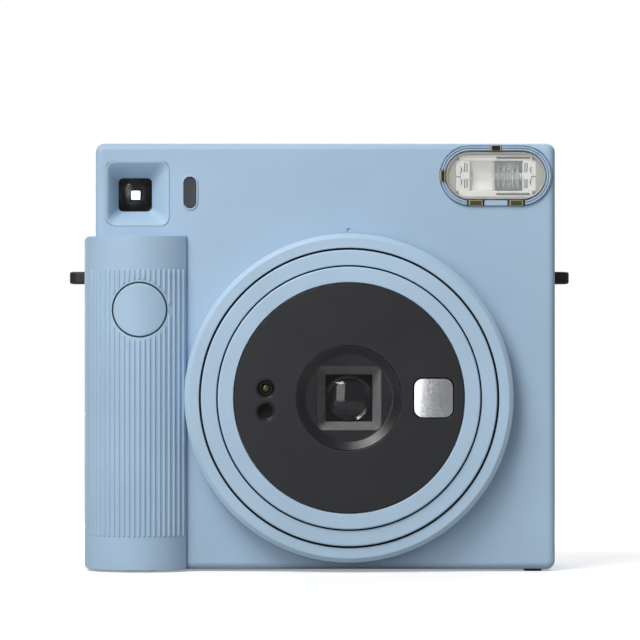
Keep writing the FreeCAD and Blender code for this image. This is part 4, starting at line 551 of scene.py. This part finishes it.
def lens_panel():
    """The dark disc round the lens, with a countersunk opening, a mirror seat and two sensor wells."""
    low, high = span_of("lens_panel")
    mirror_at, side, *_ = face_of("selfie_mirror")
    sensor_r = radius_of("exposure_sensor")
    edge, clear, mirror_gap, mirror_corner, sensor_steps = 0.12, 0.05, 0.6, 2.6, 64
    seat = side + mirror_gap
    holes = [
        inset_shape(disc_shape, LENS_AXIS, radius_of("lens_hood") + clear),
        inset_shape(round_rect_shape, mirror_at, seat, seat, mirror_corner),
    ]
    for node in ("exposure_sensor", "distance_sensor"):
        holes.append(inset_shape(disc_shape, face_of(node)[0], sensor_r + clear, sensor_steps))
    outer = inset_shape(disc_shape, LENS_AXIS, radius_of("lens_panel"))
    mesh = plate("lens_panel_skin", outer, holes, low.y, high.y, edge)
    piece("lens_panel_skin", mesh, "dark_panel", "barrel_inner", ["lens_panel"])


def lens_hood():
    """A countersink with a flat floor, and a square throat whose walls go down in fine steps."""
    low, high = span_of("lens_hood")
    rim, floor_r, floor_y = radius_of("lens_hood"), 12.0, low.y + 1.35
    mouth, throat, throat_y = 17.6, 12.9, high.y - 0.7
    steps, corner, tighten, wall = 9, 1.7, 0.8, 0.5
    edge, lap, slack, sheet = 0.1, 0.05, 0.02, 0.03

    def ring(radius, y):
        return at_depth(rounded(LENS_AXIS, 2 * radius, 2 * radius, radius), y)

    def square(side, y, round_by):
        return at_depth(rounded(LENS_AXIS, side, side, round_by), y)

    sections = [ring(rim, floor_y + wall), ring(rim, low.y + edge), ring(rim - edge, low.y)]
    sections += [ring(floor_r + edge + lap, floor_y - lap), ring(floor_r, floor_y)]
    sections += [square(mouth, floor_y, corner), square(mouth, floor_y + wall, corner)]
    mesh = loft("lens_hood_skin", sections, True)
    piece("lens_hood_skin", mesh, "hood_black", "barrel_inner", ["lens_hood"])

    sections = [ring(floor_r - edge, floor_y + lap), square(mouth - slack, floor_y + lap, corner)]
    for i in range(steps):
        share, after = i / steps, (i + 1) / steps
        y = floor_y + lap + (throat_y - floor_y) * after
        sections.append(square(between(mouth, throat, share) - slack, y, corner * (1 - share * tighten)))
        sections.append(square(between(mouth, throat, after), y, corner * (1 - after * tighten)))
    bore = radius_of("front_lens") + lap
    sections += [ring(bore, throat_y + 0.2), ring(bore, high.y), ring(floor_r - edge, high.y)]
    mesh = loft("lens_throat", sections, True)
    # the throat's lighter grey is painted light on its stepped walls
    piece("lens_throat", mesh, "throat_painted_light_grey", "barrel_inner")
    # the black sheet round the lens at the bottom of the throat
    inside, sharper = throat - sheet, corner * (1 - tighten)
    sections = [square(inside, throat_y - sheet, sharper), ring(bore, throat_y - sheet)]
    sections += [ring(bore, throat_y + sheet), square(inside, throat_y + sheet, sharper)]
    mesh = loft("lens_baffle", sections, True)
    piece("lens_baffle", mesh, "dull_black_and_gap_shade", "barrel_inner")
    retaining_ring(bore, throat_y)


def retaining_ring(bore, y):
    """The black ring that holds the front lens, in two steps."""
    edge_y = span_of("front_lens")[0].y + 1.6
    # how far each corner stands in from the bore, and its depth
    corners = [(0.0, edge_y + 0.5), (0.0, y + 0.3), (0.35, y + 0.3), (0.6, y + 0.7)]
    corners += [(0.75, y + 0.7), (1.2, edge_y), (1.2, edge_y + 0.5)]
    mesh = lathe("lens_ring", [(bore - inward, at) for inward, at in corners], LENS_AXIS)
    piece("lens_ring", mesh, "dull_black_and_gap_shade", "barrel_inner")


def lens_glass():
    """The front lens, a meniscus: a dome in front and a shallower hollow behind."""
    low, high = span_of("front_lens")
    radius, curve, hollow, behind, rings = radius_of("front_lens"), 12.0, 16.0, 0.4, 14
    reaches = [radius * i / rings for i in range(rings + 1)]
    profile = [(reach, low.y + sag(curve, reach)) for reach in reaches]
    profile += [(reach, high.y - sag(hollow, reach) - behind) for reach in reversed(reaches)]
    mesh = lathe("front_lens_skin", profile, LENS_AXIS, closed=False, steps=96)
    piece("front_lens_skin", mesh, "lens_glass", "barrel_inner", ["front_lens"])


def mirror():
    """A convex mirror. Its crown sits low on the right, so most of it looks up and to the left."""
    centre, side, _, front, back = face_of("selfie_mirror")
    corner, curve, rings, lip, runs = 2.3, 62.0, 16, 0.12, 14
    crown = Vector(centre) + Vector((3.4, -3.4))

    def dome(outline, drop=0.0):
        return [
            (x, front + drop + (Vector((x, z)) - crown).length_squared / (2 * curve), z) for x, z in outline
        ]

    sections = [at_depth(rounded(centre, side, side, corner, runs), back)]
    sections.append(dome(rounded(centre, side, side, corner, runs), lip))
    for i in range(rings):
        share = 1 - i / rings
        within = (side - lip) * share
        sections.append(dome(rounded(centre, within, within, corner * share, runs)))
    mesh = loft("selfie_mirror_skin", sections)
    slot = "silver_mirror"
    piece("selfie_mirror_skin", mesh, slot, "barrel_inner", ["selfie_mirror"])


def sensors():
    """Two wells in the panel: the upper holds a ringed lens, the lower is a plain deep hole."""
    deep, disc_share = 1.7, 0.7308
    for node, ringed in (("exposure_sensor", True), ("distance_sensor", False)):
        spot, _, _, front, back = face_of(node)
        r, floor_y = radius_of(node), front + deep
        well = [(r, back), (r, front), (r - 0.12, front - 0.03), (r - 0.30, front + 0.08)]
        well.append((r - 0.45, floor_y))
        if ringed:
            well += [(1.75, floor_y), (1.70, front + 0.6), (1.50, front + 0.6), (1.25, floor_y)]
        well.append((0.0, floor_y))
        name = node + "_skin"
        mesh = lathe(name, well, spot, False, 64)
        piece(name, mesh, "hood_black", "barrel_inner", [node])
        # a black disc on the well's floor
        disc_r, disc_front, disc_back = r * disc_share, floor_y - 0.04, floor_y + 0.1
        disc = [(0.0, disc_front), (disc_r, disc_front), (disc_r, disc_back), (0.0, disc_back)]
        name = node + "_floor"
        piece(name, lathe(name, disc, spot, False, 48), "dull_black_and_gap_shade", "barrel_inner")
        if ringed:
            exposure_lens(spot, floor_y)


def exposure_lens(spot, floor_y):
    """A small domed lens that stands on the floor of its well."""
    radius, rise, lift, steps = 1.1, 0.6, 0.75, 10
    turns = [math.pi / 2 * i / steps for i in range(steps + 1)]
    dome = [(radius * math.sin(t), floor_y - lift + rise * (1 - math.cos(t))) for t in turns]
    dome.append((0.0, floor_y - 0.05))
    mesh = lathe("exposure_lens", dome, spot, False, 48)
    piece("exposure_lens", mesh, "sensor_glass", "barrel_inner")


# ---- flash ----


def flash():
    centre, width, height, front, back = face_of("flash_bezel")
    _, wide, tall, window_front, window_back = face_of("flash_window")
    inner = (width - wide) / 2 - 0.05
    # across the ring from outside in: three steps down towards the window, each with a groove at its foot
    first, step, groove, land = 0.08, 0.08, 0.50, 0.66
    across = [(0.0, back), (0.0, front + 0.3), (first / 2, front + 0.06)]
    for i in range(3):
        at, level = first + i * land, front + i * step
        across += [(at, level), (at + 0.03, level + groove)]
        across += [(at + 0.21, level + groove), (at + 0.24, level + step)]
    across += [(inner - 0.01, front + 3 * step + 0.12), (inner, back)]
    mesh = stadium_loft("flash_bezel_skin", centre, width, height, across, True)
    piece("flash_bezel_skin", mesh, "blue_shell", "camera_body", ["flash_bezel"])

    # the window: a clear pillow, and a cream rim where light gathers at its edge
    swell = [(0.0, 0.45), (0.12, 0.2), (0.45, 0.06), (1.6, 0.02), (4.0, 0.0)]
    pillow = [(0.0, window_back)] + [(by, window_front + sunk) for by, sunk in swell]
    mesh = stadium_loft("flash_window_skin", centre, wide, tall, pillow)
    piece("flash_window_skin", mesh, "flash_clear", "camera_body", ["flash_window"])
    outside, inside = 0.06, 0.55
    rim = [(outside, window_back), (outside, window_front + 0.7)]
    rim += [(inside, window_front + 0.9), (inside, window_back)]
    mesh = stadium_loft("flash_window_rim", centre, wide, tall, rim, True)
    piece("flash_window_rim", mesh, "flash_cream", "camera_body")

    # the mask around the reflector, with a rounded opening
    mouth_w, mouth_h, mask_y, sheet = 22.9, 12.0, window_back + 0.15, 0.9
    outer = inset_shape(stadium_shape, centre, wide + 0.6, tall + 0.6)
    hole = inset_shape(round_rect_shape, centre, mouth_w - 0.8, mouth_h - 0.6, 1.4)
    mesh = plate("flash_mask", outer, [hole], mask_y, mask_y + sheet, 0.15)
    piece("flash_mask", mesh, "flash_cream", "camera_body")

    reflector(centre, mouth_w, mouth_h, mask_y + 0.2)
    flash_clips(centre, width, height, front)


def reflector(centre, width, height, front):
    """A trough with white lips, a satin left half, a ribbed mirror right half, cheeks and the tube."""
    depth = span_of("flash_reflector")[1].y - front - 0.5
    half = height / 2 - 1.75
    left, right = centre[0] - width / 2 + 4.3, centre[0] + width / 2 - 4.0
    middle = centre[0] - 0.1
    shallow = depth * 0.3
    trough("flash_trough_left", (left, middle), centre[1], half, front, shallow, 1, 0.0, "flash_white")
    trough("flash_trough_right", (middle, right), centre[1], half, front, depth, 5, 0.55, "reflector_silver")
    for name, side in (("flash_lip_top", 1), ("flash_lip_bottom", -1)):
        z = centre[1] + side * (height / 2 - 0.95)
        shape = inset_shape(round_rect_shape, (centre[0], z), width - 2.5, 1.7, 0.3)
        slit = inset_shape(round_rect_shape, (centre[0] + 4.9, z - 0.05), 9.4, 0.65, 0.2)
        mesh = plate(name, shape, [slit], front - 0.1, front + 1.2, 0.12)
        piece(name, mesh, "flash_white", "camera_body")
    (_, tube_z), _, thickness, _, _ = face_of("flash_tube")
    tube_y, tube_r = front + 2.9, thickness / 2
    cheek("left", left, -1, centre, half, width, front)
    cheek("right", right, 1, centre, half, width, front)
    tube = sweep_x("flash_tube_skin", left - 0.2, right + 0.2, tube_y, tube_z, tube_r, 0.45)
    piece("flash_tube_skin", tube, "flash_clear", "camera_body", ["flash_tube"])
    past, over = 0.3, 0.8
    for name, start, end in (("left", left - past, left + over), ("right", right - over, right + past)):
        cap = sweep_x(f"flash_cap_{name}", start, end, tube_y, tube_z, tube_r + 0.12, 0.2)
        piece(f"flash_cap_{name}", cap, "steel", "camera_body")


def trough(name, span, middle_z, half, front, depth, ribs, rise, finish):
    """A half-round trough along X; each rib is a shallow fold, so the mirror breaks into bands."""
    facets, per_rib, fullness, sheet = 18, 6, 0.85, 0.2
    columns = ribs * per_rib
    points, faces = [], []
    for i in range(columns + 1):
        fold = rise * abs(math.sin(math.pi * i / per_rib))
        for j in range(facets + 1):
            angle = math.pi * j / facets
            y = front + (depth - fold) * math.sin(angle) ** fullness
            points.append((between(*span, i / columns), y, middle_z + half * math.cos(angle)))
    row = facets + 1
    for i in range(columns):
        for j in range(facets):
            a = i * row + j
            faces.append((a, a + 1, a + row + 1, a + row))
    mesh = mesh_from(name, points, faces)
    thing = piece(name, mesh, finish, "camera_body", ["flash_reflector"])
    shell = thing.modifiers.new("sheet", "SOLIDIFY")
    shell.thickness, shell.offset = sheet * MM, 0.0


def cheek(name, inner, side, centre, half, width, front):
    """A frosted end block with grooves, a dark curved bracket, and the tube's lead."""
    outer = centre[0] + side * (width / 2 - 0.2)
    wide = abs(outer - inner)
    shape = inset_shape(round_rect_shape, ((inner + outer) / 2, centre[1]), wide, 2 * half + 0.1, 0.6)
    grooves = []
    for share in (0.18, 0.34):
        for up in (-1, 1):
            spot = (inner + side * wide * share, centre[1] + up * half * 0.52)
            grooves.append(inset_shape(round_rect_shape, spot, 0.3, half * 0.6, 0.12))
    mesh = plate(f"flash_cheek_{name}", shape, grooves, front, front + 2.6, 0.18)
    piece(f"flash_cheek_{name}", mesh, "flash_white", "camera_body")
    # the bracket is two curved horns that thin out towards their ends
    stations, sides, proud = 12, 10, 0.12
    for up, label in ((-1, "low"), (1, "high")):
        sections = []
        for i in range(stations + 1):
            t = i / stations
            z = centre[1] + up * half * (0.12 + 0.52 * t)
            x = inner + side * (wide * 0.56 + 0.5 * (1 - math.sin(t * math.pi * 0.9)))
            thick = 0.17 * math.sin(math.pi * min(max(t, 0.12), 0.88))
            sections.append([(u, v, z) for u, v in circle((x, front - proud), thick, sides)])
        title = f"flash_bracket_{name}_{label}"
        piece(title, loft(title, sections), "electrode", "camera_body")
    start, end = sorted((inner + side * wide * 0.60, outer - side * 0.1))
    lead = sweep_x(f"flash_lead_{name}", start, end, front - proud, centre[1] - 0.2, 0.1, 0.05, 16)
    piece(f"flash_lead_{name}", lead, "electrode", "camera_body")


def sweep_x(name, start, end, y, z, radius, ease, steps=40):
    """A rod along X with its two ends rounded off."""
    stations = [(0.0, radius - ease)]
    for i in range(1, 5):
        t = math.pi / 2 * i / 4
        stations.append((ease * (1 - math.cos(t)), radius - ease + ease * math.sin(t)))
    length = end - start
    rows = stations + [(length - along, r) for along, r in reversed(stations)]
    sections = [[(start + along, v, w) for v, w in circle((y, z), r, steps)] for along, r in rows]
    return loft(name, sections)


def flash_clips(centre, width, height, front):
    """The four places where the window's clips show through the ring, and the plate between two of them."""
    ring, back, corner = 1.6, front + 0.7, 0.12
    reach = height / 2 - ring / 2 - 0.02
    top, bottom = centre[1] + reach, centre[1] - reach
    left = centre[0] - width / 2 + ring / 2 + 0.05
    # label, place, width, height, and how much darker end shows past the gold frame at each side
    spots = (
        ("top", (centre[0], top), 3.0, ring + 0.1, 0.0),
        ("left", (left, centre[1] - 0.1), ring - 0.1, 3.4, 0.0),
        ("bottom_left", (centre[0] - 5.6, bottom), 4.8, ring, 0.42),
        ("bottom_right", (centre[0] + 5.65, bottom), 4.7, ring, 0.42),
    )
    for label, spot, wide, tall, ends in spots:
        # layer, finish, how far it is inset across and upright, and how far it stands proud
        layers = (
            ("seat", "clip_dark", 0.0, 0.0, 0.05),
            ("frame", "clip_gold", ends + 0.06, 0.04, 0.08),
            ("eye", "clip_olive" if ends else "clip_dark", ends + 0.32, 0.16, 0.11),
        )
        for layer, finish, off_x, off_z, proud in layers:
            name = f"flash_clip_{label}_{layer}"
            shape = inset_shape(round_rect_shape, spot, wide - 2 * off_x, tall - 2 * off_z, corner)
            mesh = plate(name, shape, [], front - proud, back, 0.03)
            piece(name, mesh, finish, "camera_body")
    proud = 0.06
    shape = inset_shape(round_rect_shape, (centre[0], bottom), 6.3, ring - 0.15, 0.15)
    mesh = plate("flash_plate", shape, [], front - proud, back, proud)
    piece("flash_plate", mesh, "blue_shell", "camera_body")


# ---- viewfinder and light meter ----


def viewfinder():
    """A funnel that eases over at its lip, dives as a soft hollow, and ends in the square hole."""
    centre, width, height, face, back = face_of("viewfinder_bezel")
    tunnel = middle_of("viewfinder_tunnel")
    hole, side = (tunnel.x, tunnel.z), 9.3
    outer_corner, lip_corner, hole_corner = 2.4, 2.1, 1.3
    sections = [at_depth(rounded(centre, width, height, outer_corner), back)]
    # how much wider than the bezel, the corner's radius, and how far in front of the face
    lip = [(0.0, outer_corner, 0.18), (0.7, 2.7, 0.20), (0.55, 2.65, 0.27)]
    lip += [(0.1, 2.45, 0.28), (-0.4, 2.2, 0.14)]
    for grow, corner, proud in lip:
        sections.append(at_depth(rounded(centre, width + grow, height + grow, corner), face - proud))
    slope, narrower = 10, 0.9
    for i in range(slope + 1):
        share = i / slope
        middle = (between(centre[0], hole[0], share), between(centre[1], hole[1], share))
        wide, tall = (between(size - narrower, side, share) for size in (width, height))
        outline = rounded(middle, wide, tall, between(lip_corner, hole_corner, share))
        sections.append(at_depth(outline, face + 0.12 + (back - face - 0.5) * share**1.25))
    sections.append(at_depth(rounded(hole, side, side, hole_corner), back))
    mesh = loft("viewfinder_bezel_skin", sections, True)
    piece("viewfinder_bezel_skin", mesh, "blue_shell", "camera_body", ["viewfinder_bezel"])
    finder_lens()
    meter()


def meter():
    """A hollowed smoked pill in a thin raised rim, whose lighter blue is a painted highlight."""
    spot, wide, tall, front, back = face_of("light_meter_window")
    hollow = ((0.0, 0.3), (0.08, 0.2), (0.3, 0.2), (0.8, 0.22), (1.3, 0.23))
    bowl = [(0.0, back)] + [(by, front + sunk) for by, sunk in hollow]
    mesh = stadium_loft("light_meter_skin", spot, wide, tall, bowl)
    slot = "smoked_window"
    piece("light_meter_skin", mesh, slot, "camera_body", ["light_meter_window"])
    # the raised rim takes the lighter ring blue as a painted highlight round the pill
    face = front - 0.05
    bulge = ((-0.05, 0.4), (-0.45, 0.4), (-0.50, 0.0), (-0.32, -0.17), (-0.06, -0.02))
    rim = [(by, face + sunk) for by, sunk in bulge]
    mesh = stadium_loft("meter_rim_painted_highlight", spot, wide, tall, rim, True)
    piece("meter_rim_painted_highlight", mesh, "blue_ring", "camera_body")


def finder_lens():
    """The finder's front lens: flat in front and hollow behind, so that the far end looks small."""
    low, high = span_of("viewfinder_front_lens")
    centre = (low + high) / 2
    curve, middle, cells = 11.0, 0.8, 28
    # the hollow is off centre, which turns the slanting view back along the tunnel
    off_x, off_z = -0.9, 0.8
    spots = [
        (between(low.x, high.x, i / cells), between(low.z, high.z, j / cells))
        for i in range(cells + 1)
        for j in range(cells + 1)
    ]
    points = [(x, low.y, z) for x, z in spots]
    for x, z in spots:
        out = math.hypot(x - centre.x - off_x, z - centre.z - off_z)
        points.append((x, min(high.y, low.y + middle + sag(curve, out)), z))
    row, back = cells + 1, (cells + 1) ** 2
    faces = []
    for i in range(cells):
        for j in range(cells):
            a = i * row + j
            faces.append((a, a + 1, a + row + 1, a + row))
            faces.append((back + a, back + a + row, back + a + row + 1, back + a + 1))
    edge = [i * row for i in range(row)]
    edge += [cells * row + j for j in range(1, row)]
    edge += [i * row + cells for i in range(cells - 1, -1, -1)]
    edge += list(range(cells - 1, 0, -1))
    for k, a in enumerate(edge):
        b = edge[(k + 1) % len(edge)]
        faces.append((a, b, back + b, back + a))
    mesh = mesh_from("finder_front_glass", points, faces)
    node = "viewfinder_front_lens"
    piece("finder_front_glass", mesh, "clear_lens", "camera_body", [node])


# ---- grip: ribs and button ----

ARCH_X, ARCH_R, CREST_Y = -49.4, 16.2, -27.0


def arch_y(x):
    """The depth of the grip's front at a place across it."""
    return CREST_Y + ARCH_R - math.sqrt(ARCH_R**2 - (x - ARCH_X) ** 2)


def grip_ribs():
    """Twenty upright beads that stop short of the shutter button."""
    count, half_span, bend, middle_x = 20, 12.75, 24.0, -50.3
    bottom, top, clear = 9.8, 83.6, 8.3
    button = middle_of("shutter_button")
    widest = math.asin(half_span / bend)
    points, faces = [], []
    for i in range(count):
        x = middle_x + bend * math.sin(widest * (2 * i / (count - 1) - 1))
        across = x - button.x
        if abs(across) < clear:
            reach = math.sqrt(clear**2 - across**2)
            runs = [(bottom, button.z - reach), (button.z + reach, top)]
        else:
            runs = [(bottom, top)]
        for start, end in runs:
            bead(points, faces, x, start, end)
    mesh = mesh_from("grip_ribs", points, faces)
    piece("grip_ribs", mesh, "blue_shell", "camera_body")


def bead(points, faces, x, start, end):
    """Adds one half-round bead on the grip's curve, with domed ends."""
    width, height, sunk, arc, ends = 0.80, 0.34, 0.12, 10, 6
    slope = math.asin((x - ARCH_X) / ARCH_R)
    out, along = (math.sin(slope), -math.cos(slope)), (math.cos(slope), math.sin(slope))
    half = width / 2
    turns = [math.pi / 2 * k / ends for k in range(ends + 1)]
    stations = [(start + half * (1 - math.cos(t)), math.sin(t)) for t in turns]
    stations += [(end - (z - start), size) for z, size in reversed(stations)]
    first = len(points)
    for z, size in stations:
        size = max(size, 0.02)
        for j in range(arc + 1):
            turn = math.pi * j / arc
            a = half * size * math.cos(turn)
            lift = height * size * math.sin(turn) - (sunk if j in (0, arc) else 0)
            here = (a * along[0] + lift * out[0], a * along[1] + lift * out[1])
            points.append((x + here[0], arch_y(x) + here[1], z))
    row = arc + 1
    for s in range(len(stations) - 1):
        for j in range(row):
            a, b = first + s * row + j, first + s * row + (j + 1) % row
            faces.append((a, b, b + row, a + row))
    last = first + (len(stations) - 1) * row
    faces.append(tuple(range(first, first + row)))
    faces.append(tuple(range(last, last + row)))


def shutter_button():
    """A round cap that carries on the grip's curve, with a soft edge, a flange and a stem."""
    middle, back = middle_of("shutter_button"), span_of("shutter_button")[1].y
    centre = (middle.x, middle.z)
    radius, edge, sunk, steps, arc = 7.30, 0.26, 0.02, 128, 6
    foot, flange_r, flange, stem_r = -21.4, 8.6, 0.9, 2.6
    cap = [(0.002, 0.0)] + [(radius * share, 0.0) for share in (0.2, 0.4, 0.6, 0.78)]
    for i in range(arc + 1):
        t = math.pi / 2 * i / arc
        cap.append((radius - edge + edge * math.sin(t), edge * (1 - math.cos(t))))
    sections = []
    for r, drop in cap:
        sections.append([(x, arch_y(x) + drop + sunk, z) for x, z in circle(centre, r, steps)])
    below = [(radius, foot), (flange_r, foot + 0.05), (flange_r, foot + flange)]
    below += [(stem_r, foot + flange), (stem_r, back)]
    sections += [at_depth(circle(centre, r, steps), y) for r, y in below]
    mesh = loft("shutter_button_skin", sections)
    piece("shutter_button_skin", mesh, "blue_shell", "release", ["shutter_button"])


def strap_lugs():
    """Two black eyelets, round all over, with an upright hole."""
    low, high = span_of("strap_lugs")
    y, depth = (low.y + high.y) / 2, high.y - low.y
    length, corner, hole_r, edge = 10.9, 2.85, 1.6, 0.55
    for name, tip, side in (("strap_lug_left", low.x, -1), ("strap_lug_right", high.x, 1)):
        shape = inset_shape(round_rect_shape, (tip - side * length / 2, y), length, depth, corner)
        hole = inset_shape(disc_shape, (tip - side * corner, y), hole_r, 48)
        mesh = plate(name, shape, [hole], low.z, high.z, edge, "Z")
        piece(name, mesh, "black_plastic", "camera_body", ["strap_lugs"])


def counter_numbers():
    """Plain numbers from nought to ten round the picture counter, in one mesh."""
    centre, width, _, _, back = face_of("counter_dial")
    reach, proud, last, whole = width / 2 - 3.2, 0.03, 10, math.radians(300)
    points, faces = [], []
    for number in range(last + 1):
        angle = whole * number / last
        text = bpy.data.curves.new(f"count_{number}", "FONT")
        text.body = str(number)
        text.size, text.extrude = 2.6, 0.04
        text.align_x, text.align_y = "CENTER", "CENTER"
        figure = mesh_of_curve(f"count_{number}_text", text)
        first = len(points)
        for vertex in figure.vertices:
            # read from behind, so +X on the page is -X in the frame
            across, up = -vertex.co.x, vertex.co.y + reach
            x = centre[0] + across * math.cos(angle) - up * math.sin(angle)
            z = centre[1] + across * math.sin(angle) + up * math.cos(angle)
            points.append((x, back + proud + vertex.co.z, z))
        faces += [tuple(first + i for i in face.vertices) for face in figure.polygons]
        bpy.data.meshes.remove(figure)
    mesh = mesh_from("counter_numbers", points, faces)
    piece("counter_numbers", mesh, "black_plastic", "counter")


# ---- stage, light and camera ----


def stage():
    """A pale round floor, white to look at and duller to the light that bounces off it.

    It fades out into the white round it.
    """
    nodes, links, shader = new_material("studio_white")
    tone = ranged(nodes, links, noise(nodes, links, 3), 0.0, 1.0)
    white = blended(nodes, links, tone, (0.84, 0.84, 0.84), (0.86, 0.86, 0.86))
    seen = nodes.new("ShaderNodeLightPath").outputs["Is Camera Ray"]
    links.new(blended(nodes, links, seen, (0.44, 0.44, 0.44), white), shader.inputs["Base Color"])
    shader.inputs["Roughness"].default_value = 0.9
    shader.inputs["Specular IOR Level"].default_value = 0.2
    shader.inputs["Emission Color"].default_value = (1, 1, 1, 1)
    links.new(ranged(nodes, links, seen, 0.0, 0.32, 0.0, 1.0), shader.inputs["Emission Strength"])
    place, away = nodes.new("ShaderNodeTexCoord"), nodes.new("ShaderNodeVectorMath")
    away.operation = "LENGTH"
    links.new(place.outputs["Object"], away.inputs[0])
    near, far, floor_r = 0.20, 0.50, 560.0
    links.new(ranged(nodes, links, away.outputs["Value"], 1.0, 0.0, near, far), shader.inputs["Alpha"])
    points = [(x, y, 0.0) for x, y in circle((0.0, 0.0), floor_r)]
    mesh = mesh_from("studio_floor", points, [range(LATHE_STEPS)])
    floor = bpy.data.objects.new("studio_floor", mesh)
    bpy.context.scene.collection.objects.link(floor)
    floor.data.materials.append(paint["studio_white"])


def softbox(name, place, target, width, height, watts):
    lamp = bpy.data.lights.new(name, "AREA")
    lamp.shape = "RECTANGLE"
    lamp.size, lamp.size_y = width, height
    lamp.energy = watts
    holder = bpy.data.objects.new(name, lamp)
    holder.location = place
    holder.rotation_mode = "QUATERNION"
    holder.rotation_quaternion = (Vector(target) - Vector(place)).to_track_quat("-Z", "Y")
    bpy.context.scene.collection.objects.link(holder)


def lights():
    aim = (0.0, 0.0, 0.06)
    softbox("key_left", (-0.40, -0.98, 0.26), aim, 0.42, 1.1, 3.8)
    softbox("high_left", (-0.42, -0.62, 0.92), aim, 0.55, 0.55, 9.0)
    softbox("high_back", (0.35, 0.85, 0.85), aim, 0.7, 0.7, 7.0)
    softbox("fill_back", (-0.30, 1.05, 0.30), aim, 0.8, 0.8, 5.0)
    surroundings()


def surroundings():
    """White to look at, also through the finder from the front, and a weak even light for the object."""
    world = bpy.data.worlds.new("studio")
    world.use_nodes = True
    nodes, links = world.node_tree.nodes, world.node_tree.links
    glow = nodes["Background"]
    glow.inputs["Color"].default_value = (0.93, 0.96, 1.0, 1)
    glow.inputs["Strength"].default_value = 0.22
    white, rays, mix = (nodes.new(f"ShaderNode{kind}") for kind in ("Background", "LightPath", "MixShader"))
    white.inputs["Color"].default_value = (1, 1, 1, 1)
    heading, split = nodes.new("ShaderNodeTexCoord"), nodes.new("ShaderNodeSeparateXYZ")
    backward, through, seen = (nodes.new("ShaderNodeMath") for _ in range(3))
    backward.operation, through.operation, seen.operation = "GREATER_THAN", "MULTIPLY", "MAXIMUM"
    links.new(heading.outputs["Generated"], split.inputs[0])
    links.new(split.outputs["Y"], backward.inputs[0])
    links.new(backward.outputs[0], through.inputs[0])
    links.new(rays.outputs["Is Transmission Ray"], through.inputs[1])
    links.new(rays.outputs["Is Camera Ray"], seen.inputs[0])
    links.new(through.outputs[0], seen.inputs[1])
    links.new(seen.outputs[0], mix.inputs[0])
    links.new(glow.outputs[0], mix.inputs[1])
    links.new(white.outputs[0], mix.inputs[2])
    links.new(mix.outputs[0], nodes["World Output"].inputs["Surface"])
    bpy.context.scene.world = world


def camera():
    """Level, a little over a metre away, with the frame raised as the view has it."""
    data = bpy.data.cameras.new("camera")
    data.sensor_width = 36.0
    data.lens = 223.0
    data.shift_y = 0.056
    data.clip_start, data.clip_end = 0.05, 20
    holder = bpy.data.objects.new("camera", data)
    holder.location = (0.0002, -1.11775, 0.0597)
    holder.rotation_euler = (math.pi / 2, 0, 0)
    bpy.context.scene.collection.objects.link(holder)
    bpy.context.scene.camera = holder
    bpy.context.scene.view_settings.view_transform = "Standard"


camera()
stage()
lights()
dress_cad()
dial_and_barrels()
lens_panel()
lens_hood()
lens_glass()
mirror()
sensors()
flash()
viewfinder()
grip_ribs()
shutter_button()
strap_lugs()
counter_numbers()

bpy.context.view_layer.update()
